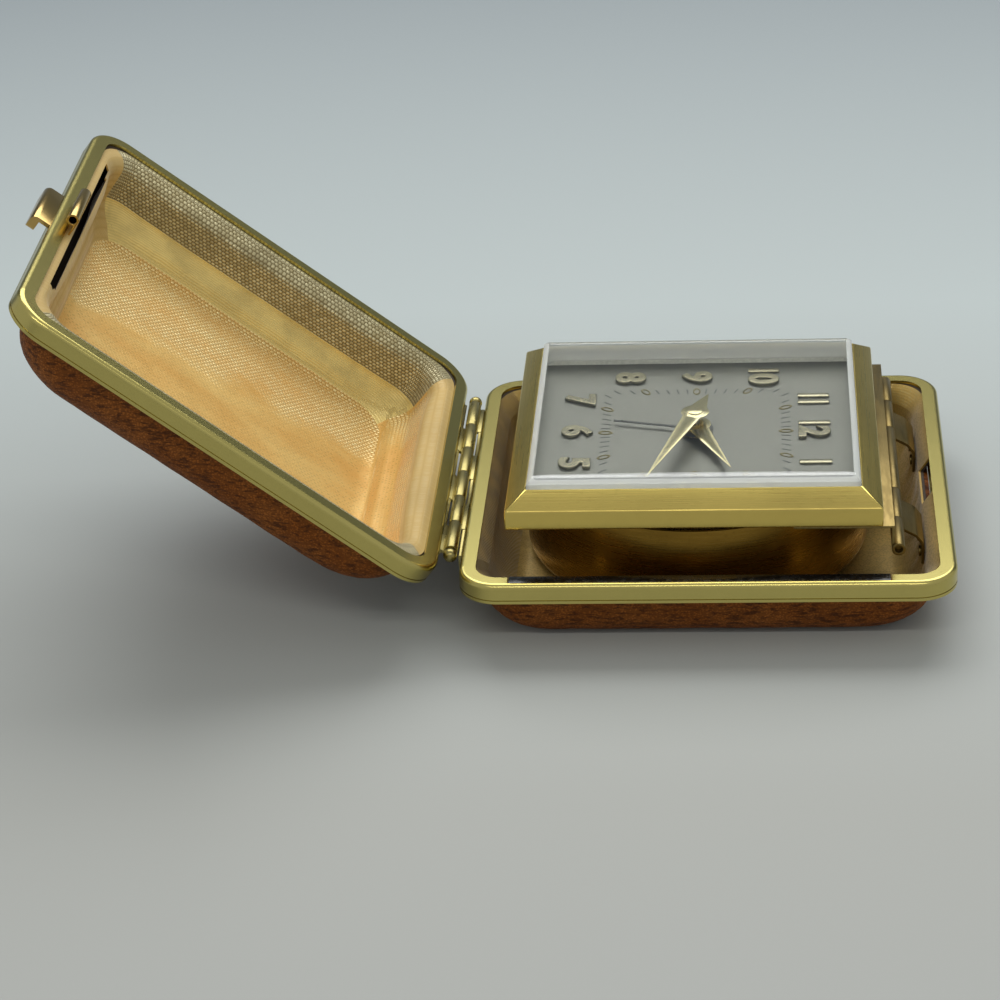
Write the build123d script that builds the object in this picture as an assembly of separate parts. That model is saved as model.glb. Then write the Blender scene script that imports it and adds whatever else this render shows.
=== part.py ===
from build123d import *
import math
import os

# A folding travel alarm clock. Two leather covered half cases are joined by a
# knuckled hinge on the left. The clock head lies in the right half, the tray,
# and swings out of it on a second hinge at the head's twelve o'clock side.
# Lengths are in millimetres. The origin is the middle of the tray's flat
# underside, +X points away from the lid, +Y to the back and +Z up.

# Whole case, built round the clock head
hinge_end_margin = 7.72
far_end_margin = 11.78
side_margin = 7.75
tray_depth = 13.2
lid_depth = 15.0
lid_tilt = 38.5
hinge_offset = 1.63
rim_gap = 0.3
overrun = 2.0
running_clearance = 0.05
body_clearance = 0.3

# Brass rims
rim_corner_radius = 6.6
rim_height = 3.4
rim_wall = 0.45
rim_edge_radius = 0.85
flange_width = 2.75
flange_thickness = 0.5
bottom_lip_thickness = 0.35
bottom_lip_clearance = 0.1
groove_height = 0.18
groove_depth = 0.22
groove_drop = 2.7
notch_hinge_end = 8.2
notch_far_end = 10.6
notch_land = 0.9

# Case walls, from the outside in
leather_inset = 2.9
leather_corner_radius = 8.0
lip_inset = 1.2
lip_clearance = 0.06
skin_thickness = 0.7
shell_thickness = 0.4
lining_thickness = 0.4
glue_gap = 0.02
tray_pillow_run = 6.8
lid_pillow_run = 9.3
pillow_steps = 4

# Main hinge
knuckle_radius = 1.1
knuckle_count = 6
hinge_setback = 11.05
knuckle_gap = 0.12
pin_radius = 0.6
pin_ball_radius = 1.15
leaf_thickness = 0.45
leaf_height = 2.4

# Clasp on the lid
tab_width = 12.0
tab_thickness = 0.7
tab_reach = 3.2
tab_drop = 2.2
tab_play = 0.1
tab_corner_radius = 1.2
tab_lip_thickness = 1.5
tab_edge_radius = 1.1
tab_root_width = 9.0
clasp_height = 2.35
clasp_inset = 3.25
catch_width = 11.0
catch_thickness = 0.35
loop_radius = 1.0
loop_wall = 0.35
loop_play = 0.35
spring_setback = 15.3
spring_height = 1.6
spring_drop = 0.35
spring_thickness = 0.22
spring_bow = 0.3
clasp_rivet_radius = 0.4
clasp_rivet_head_radius = 0.65
clasp_rivet_head_height = 0.2
clasp_rivet_spacing = 5.0
clasp_rivet_drop = 1.5

# Clock head
bezel_length_excess = 1.4
bezel_width = 59.1
bezel_lift = 5.7
bezel_skirt = 3.3
bezel_slope_run = 3.35
bezel_slope_rise = 2.4
bezel_thickness = 0.5

# Crystal
crystal_clearance = 0.1
crystal_side_rise = 0.7
crystal_bevel_run = 1.4
crystal_bevel_rise = 0.7
crystal_dome_rise = 0.3
crystal_wall = 0.6
crystal_roof = 0.6
crystal_flange_width = 1.0
crystal_flange_thickness = 1.0

# Dial and its frame
dial_margin = 0.6
dial_thickness = 0.4
dial_hole_radius = 2.4
spacer_width = 1.9
spacer_thickness = 1.05
dial_frame_recess = 0.2
dial_frame_thickness = 1.2
dial_frame_clearance = 0.1
dial_frame_ledge = 2.4
collar_step = 0.9
collar_wall = 0.7
collar_depth = 1.9

# Drum cover over the movement
drum_side_margin = 0.75
drum_wall = 0.5
drum_shadow_gap = 1.0
drum_foot_gap = 0.3
drum_foot_width = 2.4
drum_foot_radius = 2.0
drum_back_recess = 2.7

# Head hinge
head_axis_gap = 2.45
head_axis_lift = 1.8
head_hinge_overhang = 0.45
head_pin_recess = 1.0
strap_width = 10.1
strap_setback = 9.0
head_leaf_setback = 0.25
head_leaf_length = 16.0
head_leaf_thickness = 0.4
strap_corner_run = 1.12
strap_fall = 1.82
strap_corner_fall = 1.5
strap_wall_gap = 0.05
strap_depth = 7.85
strap_bend_radius = 0.9
strap_rivet_radius = 0.5
strap_rivet_head_radius = 0.9
strap_rivet_head_height = 0.35
strap_rivet_spacing = 5.0
strap_rivet_rise = 1.1

# Movement plates
plate_thickness = 0.8
plate_clearance = 0.1
back_plate_margin = 2.3
back_plate_gap = 0.3
pillar_radius = 1.3
pillar_margin = 5.3
pillar_angles = (70.0, 165.0, 195.0, 290.0)

# Motion work between the front plate and the dial
centre_arbor_radius = 0.75
tube_wall = 0.5
motion_distance = 9.0
motion_angle = 200.0
cannon_teeth = 12
minute_wheel_teeth = 36
minute_pinion_teeth = 10
hour_wheel_teeth = 40
gear_thickness = 0.7
layer_gap = 0.2
stud_radius = 0.8
tooth_height_share = 0.9
tooth_root_share = 1.25
tooth_tip_share = 0.2
tooth_base_share = 0.58

# Alarm setting work
alarm_wheel_teeth = 48
alarm_pinion_teeth = 16
alarm_set_distance = 11.52
alarm_set_angle = 20.0
alarm_arbor_radius = 0.9

# Mainspring barrels
time_barrel_radius = 9.6
time_barrel_height = 6.4
time_barrel_distance = 12.25
time_barrel_angle = 125.0
alarm_barrel_radius = 8.4
alarm_barrel_height = 5.2
alarm_barrel_distance = 13.0
alarm_barrel_angle = 235.0
barrel_arbor_radius = 1.2
barrel_wall = 0.6
barrel_core_radius = 2.6
barrel_end_gap = 0.6

# Hands
alarm_hand_rise = 0.6
alarm_hand_thickness = 0.15
alarm_hand_length = 14.2
alarm_hand_width = 0.5
alarm_hub_radius = 3.0
alarm_hand_heading = 193.4
hour_hand_rise = 1.4
hour_hand_thickness = 0.15
hour_hand_ridge = 0.1
hour_hand_length = 16.9
hour_hand_width = 3.4
hour_hand_tail = 4.4
hour_hub_radius = 2.6
hour_hand_heading = 69.05
minute_hand_rise = 3.7
minute_hand_thickness = 0.15
minute_hand_ridge = 0.15
minute_hand_margin = 1.6
minute_hand_width = 3.1
minute_hand_tail = 7.0
minute_hub_radius = 2.35
minute_hand_heading = 108.3
minute_cap_radius = 1.3
minute_cap_height = 0.2
hand_collar_height = 0.3
hand_shoulder_share = 0.6
hand_facet_share = 0.6

# Keys, knobs and levers on the back
knob_gap = 0.3
knob_height = 2.0
time_knob_radius = 4.0
alarm_knob_radius = 3.2
knob_flute_radius = 0.55
knob_flutes = 16
key_hub_radius = 2.1
key_wing_length = 5.6
key_wing_thickness = 1.1
key_wing_radius = 1.5
stop_button_radius = 1.5
stop_button_length = 1.0
stop_pin_radius = 0.8
stop_distance = 18.0
stop_angle = 300.0
stop_travel = 1.0
regulator_distance = 14.5
regulator_angle = 62.0
regulator_length = 6.0
regulator_width = 1.6
regulator_thickness = 0.5
regulator_post_radius = 0.8
regulator_hub_radius = 1.7
regulator_grip_height = 0.9

# Places worked out from the sizes above
bezel_length = bezel_width + bezel_length_excess
case_length = bezel_length + hinge_end_margin + far_end_margin
case_width = bezel_width + 2 * side_margin
hinge_x = -(case_length / 2 + hinge_offset)
hinge_z = tray_depth
case_middle = hinge_offset + case_length / 2
far_edge = hinge_offset + case_length
flange_top = -rim_gap / 2
flange_under = flange_top - flange_thickness
rim_under = flange_top - rim_height
channel_floor = rim_under + bottom_lip_thickness
wall_stack = skin_thickness + shell_thickness + lining_thickness + 2 * glue_gap
bore_radius = pin_radius + running_clearance
leaf_top = knuckle_radius - leaf_thickness
tray_floor = -tray_depth + wall_stack
head_shift = (far_end_margin - hinge_end_margin) / 2
bezel_slope_base = bezel_lift + bezel_skirt
bezel_top = bezel_slope_base + bezel_slope_rise
window_length = bezel_length - 2 * bezel_slope_run
window_width = bezel_width - 2 * bezel_slope_run
knuckle_pitch = (case_width - 2 * hinge_setback) / knuckle_count
spring_length = case_width - 2 * spring_setback
head_axis_reach = bezel_length / 2 + head_axis_gap
head_hinge_half_length = bezel_width / 2 + head_hinge_overhang
strap_outer_edge = head_hinge_half_length - strap_setback
strap_inner_edge = strap_outer_edge - strap_width
drum_radius = bezel_width / 2 - drum_side_margin
collar_radius = drum_radius - collar_step
dial_frame_hole_radius = collar_radius - dial_frame_ledge
back_plate_radius = drum_radius - back_plate_margin
pillar_circle_radius = drum_radius - pillar_margin
minute_hand_length = window_width / 2 - minute_hand_margin
frame_length = bezel_length - 2 * bezel_thickness - 2 * dial_frame_clearance
frame_width = bezel_width - 2 * bezel_thickness - 2 * dial_frame_clearance
frame_low = bezel_lift + dial_frame_recess
frame_high = frame_low + dial_frame_thickness
collar_foot = frame_low - collar_depth
dial_top = frame_high + dial_thickness
spacer_high = dial_top + spacer_thickness
crystal_foot = spacer_high + running_clearance
bevel_base = bezel_top + crystal_side_rise
drum_foot = tray_floor + drum_foot_gap
drum_back = drum_foot + drum_back_recess
drum_inside = drum_back + drum_wall
drum_rim = bezel_lift - drum_shadow_gap
front_plate_high = collar_foot
front_plate_low = front_plate_high - plate_thickness
back_plate_low = drum_inside + back_plate_gap
back_plate_high = back_plate_low + plate_thickness
motion_low = front_plate_high + layer_gap
reduction_low = motion_low + gear_thickness + layer_gap
alarm_low = reduction_low + gear_thickness + layer_gap
motion_module = 2 * motion_distance / (cannon_teeth + minute_wheel_teeth)
hour_module = 2 * motion_distance / (minute_pinion_teeth + hour_wheel_teeth)
alarm_module = 2 * alarm_set_distance / (alarm_wheel_teeth + alarm_pinion_teeth)
hour_tube_bore = centre_arbor_radius + running_clearance
hour_tube_radius = hour_tube_bore + tube_wall
alarm_tube_bore = hour_tube_radius + running_clearance
alarm_tube_radius = alarm_tube_bore + tube_wall
alarm_hand_lift = dial_top + alarm_hand_rise
hour_hand_lift = dial_top + hour_hand_rise
minute_hand_lift = dial_top + minute_hand_rise
knob_top = drum_back - knob_gap
knob_bottom = knob_top - knob_height
knob_socket = knob_bottom + knob_height / 2
barrel_top = front_plate_low - barrel_end_gap

# Where each half case and the head stand
tray_place = Pos(hinge_x, 0, hinge_z)
tilt = math.radians(lid_tilt)
lid_place = Plane(
    origin=(hinge_x, 0, hinge_z),
    x_dir=(-math.cos(tilt), 0, math.sin(tilt)),
    z_dir=(math.sin(tilt), 0, math.cos(tilt)),
).location
head_place = Pos(-head_shift, 0, hinge_z)


def block(x_low, x_high, y_low, y_high, z_low, z_high):
    """A plain block given by its limits."""
    middle = Pos((x_low + x_high) / 2, (y_low + y_high) / 2, (z_low + z_high) / 2)
    return middle * Box(x_high - x_low, y_high - y_low, z_high - z_low)


def centred_block(length, width, low, high):
    """A plain block about the Z axis between two heights."""
    return block(-length / 2, length / 2, -width / 2, width / 2, low, high)


def disc(radius, low, high, place=(0, 0)):
    """An upright cylinder between two heights."""
    return Pos(place[0], place[1], (low + high) / 2) * Cylinder(radius, high - low)


def ring(radius, bore, low, high, place=(0, 0)):
    """An upright tube between two heights."""
    return disc(radius, low, high, place) - disc(bore, low - overrun, high + overrun, place)


def rod_along_y(radius, y_low, y_high, x=0, z=0):
    """A cylinder that lies along Y."""
    return Pos(x, (y_low + y_high) / 2, z) * Rot(90, 0, 0) * Cylinder(radius, y_high - y_low)


def rod_along_x(radius, x_low, x_high, y=0, z=0):
    """A cylinder that lies along X."""
    return Pos((x_low + x_high) / 2, y, z) * Rot(0, 90, 0) * Cylinder(radius, x_high - x_low)


def at_angle(distance, degrees):
    """X and Y of a point of the movement, from its distance and angle."""
    turn = math.radians(degrees)
    return distance * math.cos(turn), distance * math.sin(turn)


# Half cases, in a frame whose origin lies on the hinge axis, with x away from
# the hinge and z out of the half's mouth


def case_outline(inset, radius, z):
    """One level of a half case as a rounded rectangle."""
    outline = RectangleRounded(case_length - 2 * inset, case_width - 2 * inset, radius)
    return Pos(case_middle, 0, z) * outline


def case_block(inset, radius, low, high):
    """An upright block with a half case's rounded outline."""
    return extrude(case_outline(inset, radius, low), high - low)


def pillow(depth, run, offset):
    """The solid inside one layer: a lip flared into the rim, then a swelling wall and a flat bottom."""
    inset = leather_inset + offset
    radius = leather_corner_radius - offset
    lip = loft(
        [
            case_outline(lip_inset + offset, rim_corner_radius - lip_inset, flange_under - lip_clearance),
            case_outline(inset, radius, channel_floor),
        ],
        ruled=True,
    )
    neck = case_block(inset, radius, rim_under, channel_floor)
    drop = depth + rim_under - offset
    levels = []
    for step in range(pillow_steps + 1):
        turn = math.radians(90 * step / pillow_steps)
        level_inset = inset + (run - offset) * (1 - math.cos(turn))
        levels.append(case_outline(level_inset, radius, rim_under - drop * math.sin(turn)))
    return lip + neck + loft(levels)


def lining_inset(depth, run, z):
    """How far the lining's inner face lies inside the rim's edge at a height below the rim."""
    share = (rim_under - z) / (depth + rim_under - wall_stack)
    growth = (run - wall_stack) * (1 - math.sqrt(1 - share * share))
    return leather_inset + wall_stack + growth


def case_layer(depth, run, offset, thickness):
    """One sheet of a half case, open at the mouth."""
    inside = offset + thickness
    mouth = case_block(
        lip_inset + inside, rim_corner_radius - lip_inset, flange_under - lip_clearance, flange_top + overrun
    )
    return pillow(depth, run, offset) - pillow(depth, run, inside) - mouth


def case_rim():
    """A brass channel that holds the edges of leather, shell and lining."""
    body = case_block(0, rim_corner_radius, rim_under, flange_top)
    body = fillet(body.edges().group_by(Axis.Z)[-1], rim_edge_radius)
    body -= case_block(rim_wall, rim_corner_radius - rim_wall, channel_floor, flange_under)
    mouth_radius = rim_corner_radius - flange_width
    body -= case_block(flange_width, mouth_radius, flange_under - overrun, flange_top + overrun)
    body -= case_block(
        leather_inset - bottom_lip_clearance,
        leather_corner_radius + bottom_lip_clearance,
        rim_under - overrun,
        flange_under - overrun,
    )
    groove_high = flange_top - groove_drop
    groove_low = groove_high - groove_height
    groove = case_block(-overrun, rim_corner_radius + overrun, groove_low, groove_high)
    groove -= case_block(groove_depth, rim_corner_radius - groove_depth, groove_low, groove_high)
    return body - groove


def tray_rim():
    """The tray's rim, with its flange cut back in front of the head and behind it."""
    start = hinge_offset + notch_hinge_end
    end = far_edge - notch_far_end
    reach = case_width / 2 - notch_land
    low = (flange_under + channel_floor) / 2
    return case_rim() - block(start, end, -reach, reach, low, flange_top + overrun)


def far_wall_cut(width, high, low):
    """A block through the far wall of a half case, inside the rim's band."""
    start = far_edge - leather_inset - wall_stack - overrun
    return block(start, far_edge - rim_wall, -width / 2, width / 2, low, high)


def tray_layers():
    """The tray's skin, shell and lining, cut away where the clasp's loop hooks in."""
    pocket = far_wall_cut(catch_width + 2 * body_clearance, flange_under, channel_floor)
    holes = strap_rivet_rods(strap_rivet_radius + running_clearance, overrun)
    skin = case_layer(tray_depth, tray_pillow_run, 0, skin_thickness) - pocket
    offset = skin_thickness + glue_gap
    shell = case_layer(tray_depth, tray_pillow_run, offset, shell_thickness) - pocket
    offset += shell_thickness + glue_gap
    lining = case_layer(tray_depth, tray_pillow_run, offset, lining_thickness) - pocket
    for hole in holes:
        shell -= hole
        lining -= hole
    return skin, shell, lining


def lid_layers():
    """The lid's skin, shell and lining, cut away round the clasp and its spring."""
    pocket = far_wall_cut(tab_width + 2 * body_clearance, flange_under, clasp_low - body_clearance)
    groove = far_wall_cut(spring_length + 2 * body_clearance, spring_top + tab_play, spring_low - tab_play)
    skin = case_layer(lid_depth, lid_pillow_run, 0, skin_thickness) - pocket
    offset = skin_thickness + glue_gap
    shell = case_layer(lid_depth, lid_pillow_run, offset, shell_thickness) - pocket - groove
    offset += shell_thickness + glue_gap
    lining = case_layer(lid_depth, lid_pillow_run, offset, lining_thickness) - pocket - groove
    return skin, shell, lining


def clasp_slot_low():
    """The height of the lower edge of the clasp's slot in the lid's rim."""
    return tab_low - tab_play - running_clearance


def lid_rim():
    """The lid's rim with the clasp's slot through its band."""
    half = tab_width / 2 + body_clearance
    slot = block(far_edge - 2 * rim_wall, far_edge + overrun, -half, half, clasp_slot_low(), flange_under)
    return case_rim() - slot


# Main hinge


def knuckle_spans(owner):
    """The Y limits of the knuckles that one half carries, 0 for the lid and 1 for the tray."""
    start = -knuckle_count * knuckle_pitch / 2
    spans = []
    for index in range(owner, knuckle_count, 2):
        low = start + index * knuckle_pitch
        spans.append((low + knuckle_gap / 2, low + knuckle_pitch - knuckle_gap / 2))
    return spans


def case_leaf(spans):
    """A leaf of the main hinge against a rim's band, with its rolled knuckles."""
    half = knuckle_count * knuckle_pitch / 2
    inner = hinge_offset - leaf_thickness
    clear = knuckle_radius + body_clearance
    plate_top = -math.sqrt(clear * clear - inner * inner)
    plate_low = plate_top - leaf_height
    leaf = block(inner, hinge_offset, -half, half, plate_low, plate_top)
    for low, high in spans:
        leaf += rod_along_y(knuckle_radius, low, high)
        leaf += block(0, hinge_offset, low, high, -knuckle_radius, -leaf_top)
    return leaf - rod_along_y(bore_radius, -half - overrun, half + overrun)


def lid_leaf():
    """The lid's leaf. The lid's frame is turned over, so its Y limits change sides."""
    return case_leaf([(-high, -low) for low, high in knuckle_spans(0)])


def case_pin():
    """The main hinge's pin, with a ball at each end."""
    half = knuckle_count * knuckle_pitch / 2
    ball = half + running_clearance + pin_ball_radius
    pin = rod_along_y(pin_radius, -ball, ball)
    return pin + Pos(0, ball, 0) * Sphere(pin_ball_radius) + Pos(0, -ball, 0) * Sphere(pin_ball_radius)


# Clasp, in the lid's frame

tab_high = flange_under - tab_play
tab_low = tab_high - tab_thickness
clasp_low = tab_high - clasp_height
clasp_face = far_edge - clasp_inset
catch_back = clasp_face - catch_thickness
loop_x = catch_back + loop_radius
loop_z = -flange_under + loop_play + loop_radius
spring_top = tab_high - spring_drop
spring_low = spring_top - spring_height


def clasp_rivet_rods(radius, start, end):
    """Two rods through the catch and the tab's root."""
    z = tab_high - clasp_rivet_drop
    half = clasp_rivet_spacing / 2
    return [rod_along_x(radius, start, end, -half, z), rod_along_x(radius, start, end, half, z)]


def clasp_tab():
    """The push tab: a tongue through the rim, turned down outside it and at its root."""
    outer = far_edge + tab_reach
    half = tab_width / 2
    lip_low = tab_low - tab_drop
    tab = block(clasp_face, outer, -half, half, tab_low, tab_high)
    lip = block(outer - tab_lip_thickness, outer, -half, half, lip_low, tab_high)
    tab += fillet(lip.edges().filter_by(Axis.X).group_by(Axis.Z)[0], tab_corner_radius)
    tab = fillet(tab.edges().filter_by(Axis.Y).group_by(Axis.X)[-1].sort_by(Axis.Z)[-1], tab_edge_radius)
    root_half = tab_root_width / 2
    tab += block(clasp_face, clasp_face + catch_thickness, -root_half, root_half, clasp_low, tab_high)
    for hole in clasp_rivet_rods(clasp_rivet_radius + glue_gap, clasp_face - overrun, clasp_face + overrun):
        tab -= hole
    return tab


def clasp_catch():
    """The catch: a plate behind the tab's root, rolled at its top into a loop that hooks the tray."""
    half = catch_width / 2
    plate_face = clasp_face - glue_gap
    catch = block(catch_back, plate_face, -half, half, clasp_low, loop_z)
    catch += rod_along_y(loop_radius, -half, half, loop_x, loop_z)
    catch -= rod_along_y(loop_radius - loop_wall, -half - overrun, half + overrun, loop_x, loop_z)
    for hole in clasp_rivet_rods(clasp_rivet_radius + glue_gap, catch_back - overrun, clasp_face):
        catch -= hole
    return catch


def clasp_rivets():
    """The two rivets that join the catch to the tab, flush inside and headed outside."""
    head = clasp_face + catch_thickness
    shanks = clasp_rivet_rods(clasp_rivet_radius, catch_back, head)
    heads = clasp_rivet_rods(clasp_rivet_head_radius, head, head + clasp_rivet_head_height)
    return [shank + cap for shank, cap in zip(shanks, heads)]


def clasp_spring():
    """The bowed leaf spring behind the catch, with its ends in the slot of the lid's lining."""
    half = spring_length / 2
    outer = catch_back - running_clearance
    inner = outer - spring_thickness
    outline = make_face(
        [
            ThreePointArc((outer + spring_bow, -half), (outer, 0), (outer + spring_bow, half)),
            Line((outer + spring_bow, half), (inner + spring_bow, half)),
            ThreePointArc((inner + spring_bow, half), (inner, 0), (inner + spring_bow, -half)),
            Line((inner + spring_bow, -half), (outer + spring_bow, -half)),
        ]
    )
    return Pos(0, 0, spring_low) * extrude(outline, spring_height)


# Head hinge. The head's pieces stand in a frame under the middle of the dial,
# at the height of the main hinge's axis


def head_leaf():
    """The head's leaf: a lip under the bezel, a flange down from it and three knuckles."""
    outer = head_axis_reach - leaf_top
    inner = outer - leaf_thickness
    half = bezel_width / 2 - head_leaf_setback
    low = bezel_lift - head_leaf_thickness
    leaf = block(outer - head_leaf_length, outer, -half, half, low, bezel_lift)
    leaf -= disc(collar_radius + head_leaf_thickness, low - overrun, bezel_lift + overrun)
    flange = block(inner, outer, -half, half, head_axis_lift, bezel_lift)
    window_top = head_axis_lift + knuckle_radius + body_clearance
    for low_y, high_y in strap_spans(-knuckle_gap):
        flange -= block(inner - overrun, outer + overrun, low_y, high_y, head_axis_lift - overrun, window_top)
    leaf += flange
    spans = [
        (-head_hinge_half_length, -strap_outer_edge),
        (-strap_inner_edge, strap_inner_edge),
        (strap_outer_edge, head_hinge_half_length),
    ]
    for low_y, high_y in spans:
        leaf += rod_along_y(knuckle_radius, low_y, high_y, head_axis_reach, head_axis_lift)
    bore = head_hinge_half_length + overrun
    return leaf - rod_along_y(bore_radius, -bore, bore, head_axis_reach, head_axis_lift)


def head_pin():
    """The head hinge's plain pin, set back in the ends of its barrel."""
    half = head_hinge_half_length - head_pin_recess
    return rod_along_y(pin_radius, -half, half, head_axis_reach, head_axis_lift)


def strap_spans(gap):
    """The Y limits of the front and back strap, drawn in by a gap at each side."""
    low = strap_inner_edge + gap
    high = strap_outer_edge - gap
    return [(-high, -low), (low, high)]


strap_end = head_axis_lift - strap_depth
strap_rivet_z = strap_end + strap_rivet_rise
strap_wall_face = far_edge - lining_inset(tray_depth, tray_pillow_run, strap_end) - strap_wall_gap


def strap_rivet_rods(radius, start_run):
    """Rods where the four rivets go through the tray's lining and shell, from inside the tray."""
    end = strap_wall_face + strap_wall_gap + lining_thickness + glue_gap + shell_thickness
    rods = []
    for low, high in strap_spans(0):
        for side in (-1, 1):
            y = (low + high) / 2 + side * strap_rivet_spacing / 2
            rods.append(rod_along_x(radius, strap_wall_face - start_run, end, y, strap_rivet_z))
    return rods


def straps():
    """The front and back straps that carry the head's hinge from the tray's far wall."""
    axis_x = case_middle - head_shift + head_axis_reach
    start_z = head_axis_lift - knuckle_radius + leaf_thickness / 2
    wall_x = strap_wall_face - leaf_thickness / 2
    path = FilletPolyline(
        (axis_x, start_z),
        (wall_x - strap_corner_run, start_z - strap_fall),
        (wall_x, start_z - strap_fall - strap_corner_fall),
        (wall_x, strap_end),
        radius=strap_bend_radius,
    )
    profile = Plane.XZ * trace(path, leaf_thickness)
    pair = []
    for low, high in strap_spans(knuckle_gap):
        strap = Pos(0, low, 0) * extrude(profile, high - low, dir=(0, 1, 0))
        strap += rod_along_y(knuckle_radius, low, high, axis_x, head_axis_lift)
        strap -= rod_along_y(bore_radius, low - overrun, high + overrun, axis_x, head_axis_lift)
        for hole in strap_rivet_rods(strap_rivet_radius + glue_gap, overrun):
            strap -= hole
        pair.append(strap)
    return pair


def strap_rivets():
    """The four rivets of the straps, each a shank with a flat round head."""
    face = strap_wall_face - leaf_thickness
    rivets = []
    for low, high in strap_spans(0):
        for side in (-1, 1):
            y = (low + high) / 2 + side * strap_rivet_spacing / 2
            start = face - strap_rivet_head_height
            head = rod_along_x(strap_rivet_head_radius, start, face, y, strap_rivet_z)
            rivets.append(head)
    shanks = strap_rivet_rods(strap_rivet_radius, leaf_thickness)
    return [shank + head for shank, head in zip(shanks, rivets)]


# Clock head


def frustum(length, width, run, low, high):
    """A block whose four sides lean in by one run over its height."""
    base = Pos(0, 0, low) * Rectangle(length, width)
    top = Pos(0, 0, high) * Rectangle(length - 2 * run, width - 2 * run)
    return loft([base, top], ruled=True)


def bezel():
    """The bevelled brass frame round the crystal, folded from sheet with mitred corners."""
    slope_low = bezel_slope_base - bezel_thickness
    outer = centred_block(bezel_length, bezel_width, bezel_lift, bezel_slope_base)
    outer += frustum(bezel_length, bezel_width, bezel_slope_run, bezel_slope_base, bezel_top)
    length = bezel_length - 2 * bezel_thickness
    width = bezel_width - 2 * bezel_thickness
    inner = centred_block(length, width, bezel_lift - overrun, slope_low)
    inner += frustum(length, width, bezel_slope_run, slope_low, bezel_top - bezel_thickness)
    return outer - inner - centred_block(window_length, window_width, slope_low, bezel_top + overrun)


def crystal_form(inset, drop):
    """The crystal's outside, or its hollow: straight sides, a bevel and a low dome."""
    length = window_length - 2 * crystal_clearance - 2 * inset
    width = window_width - 2 * crystal_clearance - 2 * inset
    base = bevel_base - drop
    bevel_top = base + crystal_bevel_rise
    stretch = 1 + crystal_dome_rise / crystal_bevel_rise
    cap = frustum(length, width, crystal_bevel_run * stretch, base, base + crystal_bevel_rise * stretch)
    corner = math.hypot(length / 2 - crystal_bevel_run, width / 2 - crystal_bevel_run)
    ball = (corner * corner + crystal_dome_rise * crystal_dome_rise) / (2 * crystal_dome_rise)
    cap &= Pos(0, 0, bevel_top + crystal_dome_rise - ball) * Sphere(ball)
    return centred_block(length, width, crystal_foot, base) + cap


def crystal():
    """The clear box crystal with the flange that the bezel holds down."""
    length = window_length - 2 * crystal_clearance
    width = window_width - 2 * crystal_clearance
    flange_high = crystal_foot + crystal_flange_thickness
    flange = centred_block(
        length + 2 * crystal_flange_width, width + 2 * crystal_flange_width, crystal_foot, flange_high
    )
    return crystal_form(0, 0) + flange - crystal_form(crystal_wall, crystal_roof)


def dial_spacer():
    """The thin frame between the dial's edge and the crystal's flange."""
    spacer = centred_block(
        window_length + 2 * spacer_width, window_width + 2 * spacer_width, dial_top, spacer_high
    )
    return spacer - centred_block(window_length, window_width, dial_top - overrun, spacer_high + overrun)


def dial():
    """The thin dial plate with its centre hole."""
    plate = centred_block(
        window_length + 2 * dial_margin, window_width + 2 * dial_margin, frame_high, dial_top
    )
    return plate - disc(dial_hole_radius, frame_high - overrun, dial_top + overrun)


def dial_frame():
    """The plate that closes the bezel's back and carries the dial, with its collar for the movement."""
    plate = centred_block(frame_length, frame_width, frame_low, frame_high)
    plate += disc(collar_radius, collar_foot, frame_high)
    plate -= disc(collar_radius - collar_wall, collar_foot - overrun, frame_low)
    return plate - disc(dial_frame_hole_radius, collar_foot, frame_high + overrun)


# Movement

time_barrel_place = at_angle(time_barrel_distance, time_barrel_angle)
alarm_barrel_place = at_angle(alarm_barrel_distance, alarm_barrel_angle)
alarm_set_place = at_angle(alarm_set_distance, alarm_set_angle)
stop_place = at_angle(stop_distance, stop_angle)
regulator_place = at_angle(regulator_distance, regulator_angle)
minute_wheel_place = at_angle(motion_distance, motion_angle)


def arbor_holes(clearance, low, high):
    """The holes for the arbors that come out of the back."""
    return [
        disc(centre_arbor_radius + clearance, low, high),
        disc(barrel_arbor_radius + clearance, low, high, time_barrel_place),
        disc(barrel_arbor_radius + clearance, low, high, alarm_barrel_place),
        disc(alarm_arbor_radius + clearance, low, high, alarm_set_place),
    ]


def drum_cover():
    """The turned brass cup over the movement, with a recessed back and a rounded foot."""
    cup = disc(drum_radius, drum_foot, drum_rim)
    cup = fillet(cup.edges().group_by(Axis.Z)[0], drum_foot_radius)
    cup -= disc(drum_radius - drum_wall, drum_inside, drum_rim + overrun)
    cup -= disc(drum_radius - drum_foot_width, drum_foot - overrun, drum_back)
    holes = arbor_holes(body_clearance, drum_foot, drum_rim)
    holes.append(disc(stop_pin_radius + running_clearance, drum_foot, drum_rim, stop_place))
    holes.append(disc(regulator_post_radius + running_clearance, drum_foot, drum_rim, regulator_place))
    for hole in holes:
        cup -= hole
    return cup


def front_plate():
    """The movement's front plate under the collar, with the minute wheel's stud."""
    plate = disc(drum_radius - drum_wall - plate_clearance, front_plate_low, front_plate_high)
    stud_top = alarm_low - layer_gap / 2
    plate += disc(stud_radius, front_plate_high, stud_top, minute_wheel_place)
    for hole in arbor_holes(running_clearance, front_plate_low - overrun, front_plate_high + overrun):
        plate -= hole
    return plate


def back_plate():
    """The movement's back plate."""
    plate = disc(back_plate_radius, back_plate_low, back_plate_high)
    holes = arbor_holes(running_clearance, back_plate_low - overrun, back_plate_high + overrun)
    holes.append(disc(stop_pin_radius + body_clearance, back_plate_low, back_plate_high, stop_place))
    for hole in holes:
        plate -= hole
    return plate


def pillars():
    """The four pillars between the plates."""
    return [
        disc(pillar_radius, back_plate_high, front_plate_low, at_angle(pillar_circle_radius, degrees))
        for degrees in pillar_angles
    ]


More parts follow.
